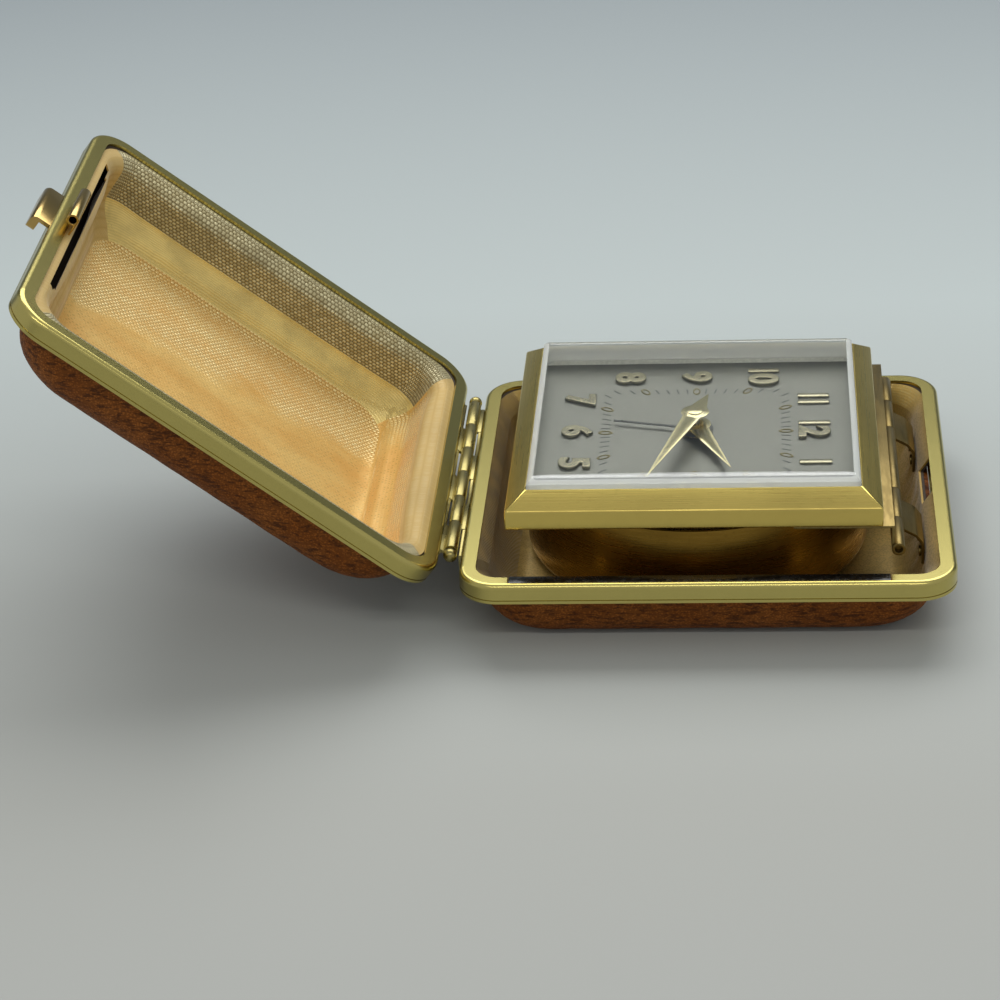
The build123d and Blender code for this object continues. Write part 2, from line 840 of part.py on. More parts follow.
def barrel(radius, height, place):
    """A mainspring barrel: a closed drum round its core, open to the arbor."""
    drum = disc(radius, barrel_top - height, barrel_top, place)
    low = barrel_top - height + barrel_wall
    drum -= ring(radius - barrel_wall, barrel_core_radius, low, barrel_top - barrel_wall, place)
    return drum - disc(barrel_arbor_radius + running_clearance, back_plate_high, front_plate_low, place)


def gear(teeth, module, low, high, heading):
    """A spur gear with straight flanks, one of its teeth at a heading in degrees."""
    pitch_radius = module * teeth / 2
    tip = pitch_radius + module * tooth_height_share
    root = pitch_radius - module * tooth_root_share
    step = 360 / teeth
    points = []
    for index in range(teeth):
        middle = heading + index * step
        points.append(at_angle(root, middle - step * tooth_base_share / 2))
        points.append(at_angle(tip, middle - step * tooth_tip_share / 2))
        points.append(at_angle(tip, middle + step * tooth_tip_share / 2))
        points.append(at_angle(root, middle + step * tooth_base_share / 2))
    outline = make_face(Polyline(*points, close=True))
    return Pos(0, 0, low) * extrude(outline, high - low)


def gap_heading(heading, teeth):
    """The heading of a tooth beside the gap that faces a heading."""
    return heading + 180 / teeth


def centre_arbor():
    """The centre arbor, which carries the cannon pinion, the minute hand and the setting knob."""
    arbor = disc(centre_arbor_radius, knob_socket, minute_hand_lift + minute_hand_thickness)
    return arbor + gear(cannon_teeth, motion_module, motion_low, motion_low + gear_thickness, motion_angle)


def minute_wheel():
    """The minute wheel and pinion, which gear the centre arbor down to the hour wheel."""
    facing = motion_angle + 180
    wheel_high = motion_low + gear_thickness
    heading = gap_heading(facing, minute_wheel_teeth)
    wheel = gear(minute_wheel_teeth, motion_module, motion_low, wheel_high, heading)
    wheel += gear(
        minute_pinion_teeth,
        hour_module,
        wheel_high,
        reduction_low + gear_thickness,
        gap_heading(facing, minute_pinion_teeth),
    )
    wheel -= disc(stud_radius + running_clearance, motion_low - overrun, alarm_low + overrun)
    return Pos(*minute_wheel_place) * wheel


def hour_wheel():
    """The hour wheel and its tube, which runs on the centre arbor."""
    wheel = gear(hour_wheel_teeth, hour_module, reduction_low, reduction_low + gear_thickness, motion_angle)
    tube_high = hour_hand_lift + hour_hand_thickness + hand_collar_height
    wheel += disc(hour_tube_radius, reduction_low, tube_high)
    return wheel - disc(hour_tube_bore, reduction_low - overrun, tube_high + overrun)


def alarm_wheel():
    """The alarm wheel and its tube, which runs on the hour tube."""
    wheel = gear(alarm_wheel_teeth, alarm_module, alarm_low, alarm_low + gear_thickness, alarm_set_angle)
    tube_high = alarm_hand_lift + alarm_hand_thickness
    wheel += disc(alarm_tube_radius, alarm_low, tube_high)
    return wheel - disc(alarm_tube_bore, alarm_low - overrun, tube_high + overrun)


def alarm_set_arbor():
    """The alarm setting arbor with the pinion that turns the alarm wheel."""
    high = alarm_low + gear_thickness
    heading = gap_heading(alarm_set_angle + 180, alarm_pinion_teeth)
    pinion = gear(alarm_pinion_teeth, alarm_module, alarm_low, high, heading)
    return disc(alarm_arbor_radius, knob_socket, high, alarm_set_place) + Pos(*alarm_set_place) * pinion


def winding_arbor(place):
    """A winding arbor from the front plate through its barrel and out of the back."""
    return disc(barrel_arbor_radius, knob_socket, front_plate_high, place)


# Hands


def leaf_hand(length, width, tail, hub, thickness, ridge, lift, bore, heading):
    """A pointed hand and tail with a raised middle line, heading clockwise from twelve in degrees."""
    half = width / 2
    shoulder = hub * hand_shoulder_share
    outline = make_face(
        Polyline((-tail, 0), (-shoulder, -half), (shoulder, -half), (length, 0),
                 (shoulder, half), (-shoulder, half), close=True)
    )
    top = lift + thickness
    hand = Pos(0, 0, lift) * extrude(outline, thickness)
    facet = half * hand_facet_share
    blade = make_face(Polyline((hub, -facet), (length, 0), (hub, facet), close=True))
    hand += loft([Pos(0, 0, top) * blade, Vertex(hub, 0, top + ridge)], ruled=True)
    hand += disc(hub, lift, top)
    return Rot(0, 0, -heading) * (hand - disc(bore, lift - overrun, top + overrun))


def minute_hand():
    """The long hand with its pointed tail and the round cap on its arbor."""
    hand = leaf_hand(
        minute_hand_length, minute_hand_width, minute_hand_tail, minute_hub_radius, minute_hand_thickness,
        minute_hand_ridge, minute_hand_lift, centre_arbor_radius, minute_hand_heading,
    )
    top = minute_hand_lift + minute_hand_thickness
    return hand + disc(minute_cap_radius, top, top + minute_cap_height)


def hour_hand():
    """The short hand, pressed on the hour tube."""
    return leaf_hand(
        hour_hand_length, hour_hand_width, hour_hand_tail, hour_hub_radius, hour_hand_thickness,
        hour_hand_ridge, hour_hand_lift, hour_tube_radius, hour_hand_heading,
    )


def alarm_hand():
    """The thin straight alarm hand on its round hub."""
    half = alarm_hand_width / 2
    top = alarm_hand_lift + alarm_hand_thickness
    hand = block(0, alarm_hand_length, -half, half, alarm_hand_lift, top)
    hand += disc(alarm_hub_radius, alarm_hand_lift, top)
    hand -= disc(alarm_tube_radius, alarm_hand_lift - overrun, top + overrun)
    return Rot(0, 0, -alarm_hand_heading) * hand


# Keys, knobs and levers on the back


def winding_key(place, degrees):
    """A flat butterfly key on its arbor."""
    half = key_wing_thickness / 2
    wings = block(-key_wing_length, key_wing_length, -half, half, knob_bottom, knob_top)
    wings = fillet(wings.edges().filter_by(Axis.Y).group_by(Axis.Z)[0], key_wing_radius)
    key = disc(key_hub_radius, knob_bottom, knob_top) + wings
    key -= disc(barrel_arbor_radius, knob_socket, knob_top + overrun)
    return Pos(*place) * Rot(0, 0, degrees + 90) * key


def fluted_knob(radius, bore, place):
    """A low round knob with flutes round its edge."""
    knob = disc(radius, knob_bottom, knob_top)
    for index in range(knob_flutes):
        flute = at_angle(radius + knob_flute_radius / 2, index * 360 / knob_flutes)
        knob -= disc(knob_flute_radius, knob_bottom - overrun, knob_top + overrun, flute)
    return Pos(*place) * (knob - disc(bore, knob_socket, knob_top + overrun))


def stop_button():
    """The alarm stop button with its pin through the back plate."""
    top = knob_top - stop_travel
    button = disc(stop_button_radius, top - stop_button_length, top, stop_place)
    return button + disc(stop_pin_radius, top, back_plate_high, stop_place)


def regulator():
    """The regulator lever that lies on the back and turns on a short post."""
    low = knob_top - regulator_thickness
    half = regulator_width / 2
    lever = disc(regulator_hub_radius, low, knob_top)
    lever += block(0, regulator_length, -half, half, low, knob_top)
    grip = regulator_length - regulator_width
    lever += block(grip, regulator_length, -half, half, low - regulator_grip_height, low)
    lever += disc(regulator_post_radius, low, drum_inside)
    return Pos(*regulator_place) * Rot(0, 0, regulator_angle) * lever


def numbered(name, solids):
    """Names for several like solids, counted from 1."""
    return {name + "_" + str(index): solid for index, solid in enumerate(solids, 1)}


def tray_nodes():
    """Every node that the tray carries."""
    skin, shell, lining = tray_layers()
    front_strap, back_strap = straps()
    nodes = {
        "tray_skin": skin,
        "tray_shell": shell,
        "tray_lining": lining,
        "tray_rim": tray_rim(),
        "tray_hinge_leaf": case_leaf(knuckle_spans(1)),
        "case_hinge_pin": case_pin(),
        "front_strap": front_strap,
        "back_strap": back_strap,
    }
    nodes.update(numbered("strap_rivet", strap_rivets()))
    return {name: tray_place * solid for name, solid in nodes.items()}


def lid_nodes():
    """Every node of the lid and its clasp."""
    skin, shell, lining = lid_layers()
    nodes = {
        "lid_skin": skin,
        "lid_shell": shell,
        "lid_lining": lining,
        "lid_rim": lid_rim(),
        "lid_hinge_leaf": lid_leaf(),
        "clasp_tab": clasp_tab(),
        "clasp_catch": clasp_catch(),
        "clasp_spring": clasp_spring(),
    }
    nodes.update(numbered("clasp_rivet", clasp_rivets()))
    return {name: lid_place * solid for name, solid in nodes.items()}


def head_nodes():
    """Every node of the clock head."""
    nodes = {
        "bezel": bezel(),
        "crystal": crystal(),
        "dial_spacer": dial_spacer(),
        "dial": dial(),
        "dial_frame": dial_frame(),
        "drum_cover": drum_cover(),
        "head_hinge_leaf": head_leaf(),
        "head_hinge_pin": head_pin(),
        "front_plate": front_plate(),
        "back_plate": back_plate(),
        "time_barrel": barrel(time_barrel_radius, time_barrel_height, time_barrel_place),
        "alarm_barrel": barrel(alarm_barrel_radius, alarm_barrel_height, alarm_barrel_place),
        "centre_arbor": centre_arbor(),
        "minute_wheel": minute_wheel(),
        "hour_wheel": hour_wheel(),
        "alarm_wheel": alarm_wheel(),
        "alarm_set_arbor": alarm_set_arbor(),
        "time_winding_arbor": winding_arbor(time_barrel_place),
        "alarm_winding_arbor": winding_arbor(alarm_barrel_place),
        "minute_hand": minute_hand(),
        "hour_hand": hour_hand(),
        "alarm_hand": alarm_hand(),
        "time_key": winding_key(time_barrel_place, time_barrel_angle),
        "alarm_key": winding_key(alarm_barrel_place, alarm_barrel_angle),
        "time_set_knob": fluted_knob(time_knob_radius, centre_arbor_radius, (0, 0)),
        "alarm_set_knob": fluted_knob(alarm_knob_radius, alarm_arbor_radius, alarm_set_place),
        "alarm_stop_button": stop_button(),
        "regulator_lever": regulator(),
    }
    nodes.update(numbered("pillar", pillars()))
    return {name: head_place * solid for name, solid in nodes.items()}


def main():
    """Writes one STEP file for each node."""
    os.makedirs("parts", exist_ok=True)
    for nodes in (tray_nodes(), lid_nodes(), head_nodes()):
        for name, solid in nodes.items():
            export_step(solid, "parts/" + name + ".step")


main()
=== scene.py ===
import math

import bmesh
import bpy
from bpy.props import FloatProperty, FloatVectorProperty, IntProperty, PointerProperty
from mathutils import Euler, Matrix, Vector, noise


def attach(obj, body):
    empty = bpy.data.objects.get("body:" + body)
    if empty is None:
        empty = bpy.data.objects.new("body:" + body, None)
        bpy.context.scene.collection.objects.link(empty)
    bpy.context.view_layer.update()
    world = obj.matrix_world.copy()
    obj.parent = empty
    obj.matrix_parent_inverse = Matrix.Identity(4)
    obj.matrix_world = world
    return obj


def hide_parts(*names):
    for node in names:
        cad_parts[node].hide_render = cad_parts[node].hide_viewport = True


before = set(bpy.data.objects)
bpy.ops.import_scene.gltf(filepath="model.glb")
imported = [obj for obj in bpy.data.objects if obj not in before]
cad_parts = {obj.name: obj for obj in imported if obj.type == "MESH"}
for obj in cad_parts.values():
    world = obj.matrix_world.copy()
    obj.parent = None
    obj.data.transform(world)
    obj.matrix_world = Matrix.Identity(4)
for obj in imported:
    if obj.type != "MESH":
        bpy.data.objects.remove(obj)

bl_info = {
    "name": "Folding travel alarm clock",
    "version": (1, 0, 0),
    "blender": (4, 5, 0),
    "location": "View3D > Sidebar > Travel Clock",
    "description": "Dresses the pieces of a folding travel alarm clock",
    "category": "Object",
}

MM = 0.001

# Sizes of the case, as in the CAD model
case_length = 80.0 * MM
case_width = 74.6 * MM
tray_depth = 13.2 * MM
lid_depth = 15.0 * MM
lid_tilt = math.radians(38.5)
hinge_offset = 1.63 * MM
rim_under = -3.55 * MM
flange_under = -0.65 * MM
channel_floor = -3.2 * MM
leather_inset = 2.9 * MM
leather_corner = 8.0 * MM
lip_inset = 1.2 * MM
lip_corner = 5.4 * MM
lip_top = -0.71 * MM
tray_run = 6.8 * MM
lid_run = 9.3 * MM
skin_thickness = 0.7 * MM
layers_thickness = 1.54 * MM
lining_thickness = 0.3 * MM
case_middle = hinge_offset + case_length / 2
far_edge = hinge_offset + case_length
hinge_place = Vector((-(case_length / 2 + hinge_offset), 0, tray_depth))

# Sizes of the head
head_middle = Vector((-2.03 * MM, 0, tray_depth))
dial_top = 7.5 * MM
window_length = 53.8 * MM
window_width = 52.4 * MM

# Places of the black strips in the tray's rim: painted shade, laid where the rim's notches show only shade
strip_insets = (0.6 * MM, 3.1 * MM)
strip_ends = (-31.6 * MM, 29.2 * MM)
strip_heights = (12.75 * MM, 13.02 * MM)

# Where the camera stands, and its angles in degrees
camera_place = (9.106 * MM, -466.414 * MM, 261.514 * MM)
camera_angles = (61.5883, 2.8113, 3.9578)


def tone(red, green, blue):
    """A colour as read on a screen, from 0 to 255, in linear light."""
    return tuple(((c / 255 + 0.055) / 1.055) ** 2.4 if c > 10 else c / 3295 for c in (red, green, blue))


def tint(name, description, rgb):
    """A colour that the user may change."""
    return FloatVectorProperty(
        name=name, description=description, subtype="COLOR", size=3, min=0, max=1, default=tone(*rgb)
    )


def number(name, description, value, **choices):
    """A number that the user may change."""
    return FloatProperty(name=name, description=description, default=value, **choices)


def distance(name, description, value):
    """A length that the user may change, in metres."""
    return number(name, description, value, subtype="DISTANCE", unit="LENGTH", min=0, precision=5)


class StageSettings(bpy.types.PropertyGroup):
    """Floor, backdrop, light and camera."""

    # The floor and backdrop are one plain sheet: the steps between these four colours are painted light, its
    # fall from near to far.
    near_colour: tint("Near floor", "Colour of the floor in front of the clock", (181, 183, 180))
    middle_colour: tint("Middle floor", "Colour of the floor round the clock", (177, 178, 172))
    back_colour: tint("Back floor", "Colour of the floor behind the clock", (186, 194, 192))
    far_colour: tint("Backdrop", "Colour of the backdrop", (142, 149, 152))
    top_power: number("Top lamp", "Power of the large lamp above and behind", 4.1, unit="POWER", min=0)
    strip_power: number("Strip lamp", "Power of the narrow lamp in front", 0.5, unit="POWER", min=0)
    world_strength: number("Room light", "Strength of the light from all round", 0.5, unit="NONE", min=0)
    focal_length: number("Focal length", "Focal length of the camera", 112.23, unit="CAMERA", min=1)


class LeatherSettings(bpy.types.PropertyGroup):
    """The leather on both half cases."""

    colour: tint("Leather", "Colour of the leather", (144, 80, 24))
    deep_colour: tint("Pits", "Colour in the grain's pits", (62, 30, 8))
    worn_colour: tint("Worn leather", "Colour where the leather is rubbed", (160, 94, 36))
    grain_pitch: distance("Grain", "Width of a pebble of the grain", 0.4 * MM)
    grain_height: distance("Grain height", "Height of the grain", 0.05 * MM)


class LiningSettings(bpy.types.PropertyGroup):
    """The cloth inside both half cases."""

    # The thread colours are painted glints on the threads' tops, and the amber colour is painted shade in the
    # satin's soft waves.
    floor_colour: tint("Floor satin", "Colour of the lid's floor", (230, 190, 106))
    amber_colour: tint("Amber satin", "Colour in the waves of the lid's floor", (216, 162, 72))
    floor_thread_colour: tint("Floor thread", "Colour of the floor's bright threads", (255, 236, 172))
    wall_colour: tint("Woven wall", "Colour of the lid's woven walls", (150, 132, 80))
    wall_thread_colour: tint("Wall thread", "Colour of the walls' bright threads", (236, 226, 180))
    fold_colour: tint("Fold", "Colour of the fold along the floor", (240, 214, 130))
    clasp_wall_colour: tint("Clasp wall", "Colour of the wall at the clasp", (206, 172, 98))
    tray_colour: tint("Tray satin", "Colour of the tray's lining", (206, 168, 78))
    tray_thread_colour: tint("Tray thread", "Colour of the tray's bright threads", (222, 206, 150))
    thread_pitch: distance("Thread pitch", "Distance between the weave's cells", 0.7 * MM)
    ripple_height: distance("Ripples", "Height of the soft waves in the satin", 0.14 * MM)
    pillow_height: distance("Pillow", "How far the lid's padded walls swell", 1.15 * MM)


class BrassSettings(bpy.types.PropertyGroup):
    """The brass, gilt and steel pieces."""

    rim_colour: tint("Rim brass", "Colour of the rims", (196, 182, 108))
    bezel_colour: tint("Bezel brass", "Colour of the bezel", (214, 190, 104))
    hinge_colour: tint("Hinge brass", "Colour of both hinges", (178, 164, 104))
    clasp_colour: tint("Clasp gilt", "Colour of the clasp", (200, 168, 102))
    strap_colour: tint("Strap brass", "Colour of the head hinge's straps", (146, 126, 76))
    drum_colour: tint("Drum brass", "Colour of the cover over the movement", (150, 116, 48))
    movement_colour: tint("Movement brass", "Colour of plates and wheels", (198, 172, 92))
    steel_colour: tint("Steel", "Colour of arbors and springs", (168, 170, 172))


class DialSettings(bpy.types.PropertyGroup):
    """The dial, its numerals and the hands."""

    plate_colour: tint("Dial", "Colour of the silvered dial", (112, 112, 104))
    # The spacer's pale colour is a painted reflection along the dial's far edge.
    spacer_colour: tint("Spacer", "Colour of the wall round the dial", (206, 206, 194))
    numeral_colour: tint("Numerals", "Colour of the raised numerals", (164, 158, 132))
    print_colour: tint("Print", "Colour of the minute marks", (26, 26, 24))
    oval_colour: tint("Ovals", "Colour of the five minute marks", (100, 90, 54))
    hand_colour: tint("Hands", "Colour of the gilt hands", (214, 204, 160))
    numeral_row: distance("Numeral row", "Distance of the numerals from the middle", 19.9 * MM)
    track_row: distance("Track row", "Distance of the minute marks from the middle", 15.15 * MM)
    numeral_height: distance("Numeral height", "Height of a numeral", 5.4 * MM)
    digit_gap: distance("Digit gap", "Gap between the two digits of a numeral", 1.15 * MM)
    mark_length: distance("Mark length", "Length of a minute mark", 1.6 * MM)
    corner_steps: IntProperty(name="Oval steps", description="Sides of a five minute mark", min=8, default=20)


class ClockSettings(bpy.types.PropertyGroup):
    """All settings of the clock."""

    stage: PointerProperty(type=StageSettings)
    leather: PointerProperty(type=LeatherSettings)
    lining: PointerProperty(type=LiningSettings)
    brass: PointerProperty(type=BrassSettings)
    dial: PointerProperty(type=DialSettings)


# Tools for the meshes


def rest():
    """Leaves edit mode and deselects everything."""
    if bpy.context.object and bpy.context.object.mode != "OBJECT":
        bpy.ops.object.mode_set(mode="OBJECT")
    bpy.ops.object.select_all(action="DESELECT")


def pick(*objects):
    """Selects only these objects and makes the first one active."""
    rest()
    for obj in objects:
        obj.select_set(True)
    bpy.context.view_layer.objects.active = objects[0]
    return objects[0]


def enter(obj, mode="FACE"):
    """Goes into edit mode on one object with everything selected."""
    pick(obj)
    bpy.ops.object.mode_set(mode="EDIT")
    bpy.ops.mesh.select_mode(type=mode)
    bpy.ops.mesh.select_all(action="SELECT")


def enter_edges(obj, chosen):
    """Goes into edit mode with only those edges selected whose two ends pass a test."""
    for part in (*obj.data.vertices, *obj.data.polygons):
        part.select = False
    for edge in obj.data.edges:
        edge.select = chosen(*[obj.data.vertices[index].co for index in edge.vertices])
    bpy.ops.object.mode_set(mode="EDIT")
    bpy.ops.mesh.select_mode(type="EDGE")


def extrude(move):
    """Extrudes what is selected."""
    bpy.ops.mesh.extrude_region_move(TRANSFORM_OT_translate={"value": move})


def leave():
    """Goes back to object mode."""
    bpy.ops.object.mode_set(mode="OBJECT")


def settle(obj):
    """Puts the object's place into its mesh, and leaves the object at the origin."""
    pick(obj)
    bpy.ops.object.transform_apply(location=True, rotation=True, scale=True)
    return obj


def modify(obj, kind, **values):
    """Adds a modifier and applies it."""
    pick(obj)
    modifier = obj.modifiers.new(kind.title(), kind)
    for name, value in values.items():
        setattr(modifier, name, value)
    bpy.ops.object.modifier_apply(modifier=modifier.name)
    return obj


def round_edges(obj, size, segments, degrees):
    """Rounds the edges between faces that meet at more than an angle."""
    angle = math.radians(degrees)
    modify(obj, "BEVEL", width=size, segments=segments, limit_method="ANGLE", angle_limit=angle)


def smooth(obj, degrees=32):
    """Shades an object smooth up to an angle between faces."""
    pick(obj)
    bpy.ops.object.shade_smooth_by_angle(angle=math.radians(degrees))
    return obj


def face_like(obj, index, direction):
    """Turns all faces over if one face doesn't look along a direction."""
    if obj.data.polygons[index].normal.dot(Vector(direction)) < 0:
        enter(obj)
        bpy.ops.mesh.flip_normals()
        leave()
    return obj


def join(name, objects):
    """Makes one object of several."""
    pick(*objects)
    if len(objects) > 1:
        bpy.ops.object.join()
    joined = bpy.context.object
    joined.name = name
    joined.data.name = name
    return joined


def copy_of(obj, name):
    """A copy of an object with its own mesh."""
    twin = obj.copy()
    twin.data = obj.data.copy()
    twin.name = name
    bpy.context.scene.collection.objects.link(twin)
    return twin


def merged_copy(name, bevel, segments=2):
    """A copy of a CAD node with merged points and rounded edges."""
    obj = bpy.data.objects.new("dressed_" + name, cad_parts[name].data.copy())
    bpy.context.scene.collection.objects.link(obj)
    obj.data.materials.clear()
    enter(obj, "VERT")
    bpy.ops.mesh.customdata_custom_splitnormals_clear()
    bpy.ops.mesh.remove_doubles(threshold=0.000002)
    bpy.ops.mesh.dissolve_limited(angle_limit=math.radians(0.6))
    leave()
    round_edges(obj, bevel, segments, 30)
    return smooth(obj)


def rounded_box(name, low, high, radius, segments=3):
    """A box between two corners with rounded edges."""
    rest()
    low, high = Vector(low), Vector(high)
    bpy.ops.mesh.primitive_cube_add(size=1, location=(low + high) / 2)
    obj = bpy.context.object
    obj.name = name
    obj.scale = high - low
    settle(obj)
    enter(obj, "EDGE")
    bpy.ops.mesh.bevel(offset=radius, segments=segments, affect="EDGES")
    leave()
    return smooth(obj)


def paint(obj, *materials):
    """Gives an object its materials."""
    obj.data.materials.clear()
    for material in materials:
        obj.data.materials.append(material)
    return obj


def finish_nodes(names, material):
    """Gives CAD nodes a better material."""
    for name in names:
        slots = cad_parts[name].material_slots
        if not slots:
            raise RuntimeError(f"the node {name} has no material slot")
        for slot in slots:
            slot.material = material


def put(obj, body, slot, *nodes):
    """Lets a piece ride on a body in place of CAD nodes; the slot is not used."""
    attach(obj, body)
    if nodes:
        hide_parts(*nodes)
    return obj


def bevelled_nodes(names, body, slot, material, bevel, segments=2):
    """Replaces CAD nodes by copies with rounded edges."""
    for name in names:
        put(paint(merged_copy(name, bevel, segments), material), body, slot, name)


# Tools for the materials


def is_output(value):
    """Whether a value is a node's output, given as (node, socket)."""
    return isinstance(value, tuple) and isinstance(value[0], bpy.types.Node)


def feed(tree, target, value):
    """Joins an output to an input, or sets the input to a fixed value."""
    if is_output(value):
        tree.links.new(value[0].outputs[value[1]], target)
    else:
        target.default_value = value


def wire(tree, made, **inputs):
    """Feeds a node's inputs by name."""
    for name, value in inputs.items():
        feed(tree, made.inputs[name.replace("_", " ")], value)


def node(tree, kind, *numbered, **named):
    """Adds a shader node: names in lower case are its own settings, and the others feed its inputs."""
    made = tree.nodes.new("ShaderNode" + kind)
    for name in filter(str.islower, named):
        setattr(made, name, named[name])
    for index, value in enumerate(numbered):
        if value is not None:
            feed(tree, made.inputs[index], value)
    wire(tree, made, **{name: value for name, value in named.items() if not name.islower()})
    return made


def math_node(tree, operation, *values):
    """The result of a Math node on numbers or outputs."""
    return node(tree, "Math", *values, operation=operation), 0


def times(tree, first, second):
    """One number or output times another."""
    return math_node(tree, "MULTIPLY", first, second)


def times_plus(tree, first, second, third):
    """The first times the second, plus the third."""
    return math_node(tree, "MULTIPLY_ADD", first, second, third)


def blend_colours(tree, factor, first, second):
    """Mixes two colours, each a fixed colour or an output."""
    colours = [value if is_output(value) else (*value[:3], 1) for value in (first, second)]
    return node(tree, "Mix", factor, *[None] * 5, *colours, data_type="RGBA"), 2


def between(tree, value, low, high, out_low=0.0, out_high=1.0):
    """Maps a value from one range to another, smoothly and held at the ends."""
    return node(tree, "MapRange", value, low, high, out_low, out_high, interpolation_type="SMOOTHSTEP"), 0


def scaled(tree, vector, by):
    """A vector times another, part by part."""
    return node(tree, "VectorMath", vector, by, operation="MULTIPLY"), 0


def group(name, inputs, outputs):
    """A new shader node group with named inputs and outputs."""
    made = bpy.data.node_groups.new(name, "ShaderNodeTree")
    for label, kind, default in inputs:
        item = made.interface.new_socket(name=label, in_out="INPUT", socket_type="NodeSocket" + kind)
        if default is not None:
            item.default_value = default
    for label in outputs:
        made.interface.new_socket(name=label, in_out="OUTPUT", socket_type="NodeSocketFloat")
    return made, made.nodes.new("NodeGroupInput"), made.nodes.new("NodeGroupOutput")


def place_group(tree, name, vector, **inputs):
    """Places a node group in a material with its own values."""
    return node(tree, "Group", node_tree=bpy.data.node_groups[name], Vector=vector, **inputs)


def object_coordinates(tree):
    """The Object output of a Texture Coordinate node."""
    return node(tree, "TexCoord"), "Object"


def make_groups():
    """Builds the effects that several materials use."""
    vector = ("Vector", "Vector", None)
    tree, start, end = group("brushed_lines", [vector, ("Stretch", "Vector", (1, 1, 1))], ["Lines"])
    stretched = scaled(tree, (start, "Vector"), (start, "Stretch"))
    fine = node(tree, "TexNoise", Vector=stretched, Scale=1.0, Detail=3.0, Roughness=0.6)
    wire(tree, end, Lines=between(tree, (fine, "Fac"), 0.32, 0.68))

    # Soft clouds and specks: tarnish on the metals, while in the cloths the clouds paint the satin's sheen.
    tree, start, end = group("tarnish", [vector, ("Size", "Float", 0.01)], ["Cloud", "Specks"])
    scale = math_node(tree, "DIVIDE", 1.0, (start, "Size"))
    cloud = node(tree, "TexNoise", Vector=(start, "Vector"), Scale=scale, Detail=4.0, Roughness=0.55)
    close = times(tree, scale, 14.0)
    specks = node(tree, "TexNoise", Vector=(start, "Vector"), Scale=close, Detail=1.0)
    wire(tree, end, Cloud=(cloud, "Fac"), Specks=between(tree, (specks, "Fac"), 0.66, 0.74))

    tree, start, end = group("woven_cells", [vector, ("Pitch", "Vector", (1, 1, 1))], ["Height", "Cell"])
    split = node(tree, "VectorMath", (start, "Vector"), (start, "Pitch"), operation="DIVIDE")
    parts = node(tree, "SeparateXYZ", (split, 0))
    row = math_node(tree, "FLOOR", (parts, "Y"))
    shifted = times_plus(tree, row, 0.5, (parts, "X"))
    humps = []
    for value in (shifted, (parts, "Y")):
        centred = math_node(tree, "SUBTRACT", math_node(tree, "FRACT", value), 0.5)
        square = times(tree, centred, centred)
        humps.append(times_plus(tree, square, -4.0, 1.0))
    corner = node(tree, "CombineXYZ", math_node(tree, "FLOOR", shifted), row)
    chance = node(tree, "TexWhiteNoise", Vector=(corner, 0))
    wire(tree, end, Height=times(tree, *humps), Cell=(chance, "Value"))

    pitch = ("Pitch", "Float", 0.0006)
    tree, start, end = group("pebbled_grain", [vector, pitch], ["Height", "Pits", "Cloud"])
    scale = math_node(tree, "DIVIDE", 1.0, (start, "Pitch"))

    def grain(kind, finer, stretch, **inputs):
        """A texture at a share of the grain's scale, stretched along an axis."""
        place = scaled(tree, (start, "Vector"), stretch)
        return node(tree, kind, Vector=place, Scale=times(tree, scale, finer), **inputs)

    cells = grain("TexVoronoi", 1.0, (1, 1, 1))
    rough = grain("TexNoise", 1.3, (1, 1, 1), Detail=4.0, Roughness=0.65)
    pores = grain("TexNoise", 0.4, (0.45, 1, 1.5), Detail=3.0, Roughness=0.6, Distortion=0.6)
    cloud = grain("TexNoise", 0.07, (1, 1, 1), Detail=3.0)
    pebble = times(tree, between(tree, (cells, "Distance"), 0.7, 0.05), 0.4)
    height = times_plus(tree, (rough, "Fac"), 0.6, pebble)
    pits = between(tree, (pores, "Fac"), 0.48, 0.64, 0.0, 0.8)
    wire(tree, end, Height=height, Pits=pits, Cloud=(cloud, "Fac"))


def new_material(name, **inputs):
    """A material with its Principled shader, whose fixed inputs are set by name."""
    material = bpy.data.materials.new(name)
    material.use_nodes = True
    tree = material.node_tree
    shader = tree.nodes["Principled BSDF"]
    wire(tree, shader, **inputs)
    return material, tree, shader


def coat(tree, shader, colour, rough, relief, height):
    """Gives a shader its colour, its roughness and, unless the height is zero, its relief."""
    wire(tree, shader, Base_Color=colour, Roughness=rough)
    if height:
        bump = node(tree, "Bump", Strength=1.0, Distance=height, Height=relief)
        wire(tree, shader, Normal=(bump, "Normal"))


def leather_material(settings):
    """Tan leather with a pebbled, dark pitted grain."""
    material, tree, shader = new_material("tan_leather", Specular_IOR_Level=0.15)
    grain = place_group(tree, "pebbled_grain", object_coordinates(tree), Pitch=settings.grain_pitch)
    worn = between(tree, (grain, "Cloud"), 0.35, 0.7)
    mottled = blend_colours(tree, worn, settings.colour, settings.worn_colour)
    sandy = between(tree, (grain, "Height"), 0.35, 0.65, 0.5, 0.0)
    grained = blend_colours(tree, sandy, mottled, settings.deep_colour)
    dipped = blend_colours(tree, (grain, "Pits"), grained, settings.deep_colour)
    rough = between(tree, (grain, "Height"), 0.2, 0.9, 0.72, 0.5)
    coat(tree, shader, dipped, rough, (grain, "Height"), settings.grain_height)
    return material


def darker(colour, share):
    """A colour with only a share of its light."""
    return tuple(part * share for part in colour)


